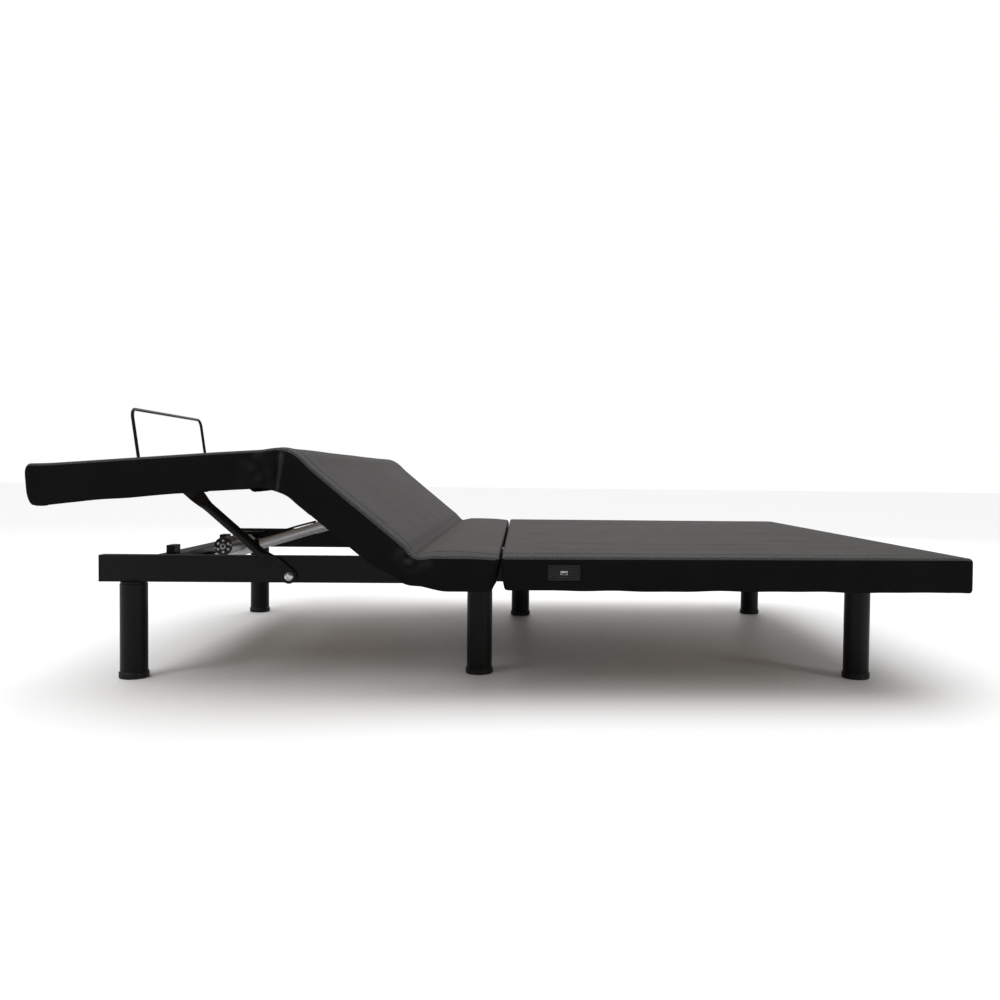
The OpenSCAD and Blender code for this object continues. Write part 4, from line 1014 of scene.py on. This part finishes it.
def rounded_plate(name, mat, w, h, t, r, cut=None):
    """A plate in the XZ plane with rounded corners, facing -Y."""
    bm = bmesh.new()
    def ring(w, h, r, y):
        out = []
        cx, cz = w / 2 - r, h / 2 - r
        for sx, sz, a0 in ((1, 1, 0), (-1, 1, 90), (-1, -1, 180), (1, -1, 270)):
            for i in range(7):
                a = math.radians(a0 + 15 * i)
                out.append(bm.verts.new((sx * cx + r * math.cos(a), y, sz * cz + r * math.sin(a))))
        return out
    def bridge(a, b):
        for i in range(len(a)):
            bm.faces.new((a[i], a[(i + 1) % len(a)], b[(i + 1) % len(b)], b[i]))
    back = ring(w, h, r, 0)
    front = ring(w, h, r, -t + 0.0006)
    lip = ring(w - 0.0012, h - 0.0012, max(r - 0.0006, 0.0004), -t)
    bridge(back, front)
    bridge(front, lip)
    if cut:
        cw, ch, cr, depth = cut
        edge = ring(cw, ch, cr, -t)
        floor = ring(cw - 0.0004, ch - 0.0004, max(cr - 0.0002, 0.0002), -t + depth)
        bridge(lip, edge)
        bridge(edge, floor)
        bm.faces.new(floor)
    else:
        bm.faces.new(lip)
    bm.faces.new(list(reversed(back)))
    bmesh.ops.recalc_face_normals(bm, faces=bm.faces)
    me = bpy.data.meshes.new(name)
    bm.to_mesh(me)
    bm.free()
    me.materials.append(mat)
    me.polygons.foreach_set("use_smooth", np.ones(len(me.polygons), bool))
    me.set_sharp_from_angle(angle=math.radians(30))
    o = bpy.data.objects.new(name, me)
    scene.collection.objects.link(o)
    return o


def usb_panel(side):
    """The charging panel let into one side of the head skirt."""
    lo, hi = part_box("usb_panels")
    w, h = hi.x - lo.x, hi.z - lo.z
    base = Matrix.Translation(((lo.x + hi.x) / 2, side * (HALF - 0.0002), (lo.z + hi.z) / 2))
    if side > 0:
        base = base @ Matrix.Rotation(math.pi, 4, "Z")

    def put(o, x, y, z):
        o.matrix_world = base @ Matrix.Translation((x, y, z))
        bpy.context.view_layer.update()
        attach(o, "head_section")
        return o

    bezel = put(rounded_plate("panel bezel", M_PLASTIC, w, h, 0.0034, 0.0035,
                              (w - 0.007, h - 0.007, 0.0025, 0.0008)), 0, 0, 0)
    put(rounded_plate("panel face", M_GLOSS, w - 0.0125, h - 0.0145, 0.0012, 0.002), 0, -0.0024, 0.0005)
    for x, z, lx, lz in ((0, 0.0098, 0.0535, 0.0007), (0, -0.0088, 0.0535, 0.0007),
                         (-0.0268, 0.0005, 0.0007, 0.0193), (0.0268, 0.0005, 0.0007, 0.0193)):
        put(rounded_plate("panel line", M_LINE, lx, lz, 0.0014, 0.0003), x, -0.0024, z)
    put(rounded_plate("port rim", M_ZINC, 0.0145, 0.0078, 0.0009, 0.0009,
                      (0.0131, 0.0064, 0.0006, 0.0007)), 0, -0.0034, 0)
    put(rounded_plate("port tongue", M_WHITE, 0.0112, 0.0019, 0.0006, 0.0003), 0, -0.0036, 0.0008)
    return bezel


panel = usb_panel(-1)
usb_panel(1)
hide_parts("usb_panels")

# ---------------------------------------------------------------- stage, light, camera

floor_mat = Maker("floor")
floor_mat.set(Base_Color=(0.86, 0.86, 0.86, 1), Roughness=0.55, Specular_IOR_Level=0.2)
floor_mat.bump(floor_mat.noise(floor_mat.coords("Object"), 40.0, 2.0), 0.02, 0.0005)
bpy.ops.mesh.primitive_plane_add(size=60, location=(0, 0, 0))
floor = bpy.context.object
floor.name = "floor"
floor.data.materials.append(floor_mat.mat)

world = bpy.data.worlds.new("studio")
scene.world = world
world.use_nodes = True
# the surroundings light the part softly and look plain white to the camera
sky = world.node_tree
sky.nodes["Background"].inputs["Color"].default_value = (1, 1, 1, 1)
sky.nodes["Background"].inputs["Strength"].default_value = 0.32
seen = sky.nodes.new("ShaderNodeBackground")
seen.inputs["Color"].default_value = (1, 1, 1, 1)
ray = sky.nodes.new("ShaderNodeLightPath")
pick = sky.nodes.new("ShaderNodeMixShader")
sky.links.new(ray.outputs["Is Camera Ray"], pick.inputs["Fac"])
sky.links.new(sky.nodes["Background"].outputs["Background"], pick.inputs[1])
sky.links.new(seen.outputs["Background"], pick.inputs[2])
sky.links.new(pick.outputs["Shader"], sky.nodes["World Output"].inputs["Surface"])


def area(name, loc, target, size, power, size_y=None):
    data = bpy.data.lights.new(name, "AREA")
    data.energy = power
    data.shape = "RECTANGLE" if size_y else "SQUARE"
    data.size = size
    if size_y:
        data.size_y = size_y
    o = bpy.data.objects.new(name, data)
    scene.collection.objects.link(o)
    o.location = loc
    o.rotation_euler = (Vector(target) - Vector(loc)).to_track_quat("-Z", "Y").to_euler()
    return o


above = bpy.data.objects.new("above", bpy.data.lights.new("above", "SUN"))
above.data.energy = 2.7
above.data.angle = math.radians(80)
above.rotation_euler = (math.radians(-8), math.radians(-6), 0)
scene.collection.objects.link(above)
area("key", (-2.4, -2.6, 2.6), (-0.2, 0, 0.3), 1.6, 45)
area("rim", (0.6, 4.2, 2.2), (0, 0, 0.4), 3.2, 60)
area("strip", (2.6, -2.2, 0.9), (0.2, -0.6, 0.15), 0.5, 14, 1.6)

cam_data = bpy.data.cameras.new("camera")
cam_data.sensor_width = 36.0
cam_data.lens = 33.07
cam_data.shift_x = -0.065
cam_data.shift_y = 0.0044
cam_data.clip_end = 100
cam = bpy.data.objects.new("camera", cam_data)
scene.collection.objects.link(cam)
yaw, pitch, roll = math.radians(-2.81), math.radians(1.81), math.radians(-0.66)
right = Vector((math.cos(yaw), math.sin(yaw), 0))
ahead = Vector((-math.sin(yaw) * math.cos(pitch), math.cos(yaw) * math.cos(pitch), -math.sin(pitch)))
down = ahead.cross(right)
r2 = math.cos(roll) * right + math.sin(roll) * down
d2 = -math.sin(roll) * right + math.cos(roll) * down
rot = Matrix((r2, -d2, -ahead)).transposed().to_4x4()
cam.matrix_world = Matrix.Translation((SEAM[0] + 0.0382, -2.6157, 0.4675)) @ rot
scene.camera = cam
scene.view_settings.view_transform = "Standard"
scene.view_settings.look = "None"
scene.view_settings.exposure = 0.0

for o in scene.objects:
    o.name = o.name.replace(" ", "_")
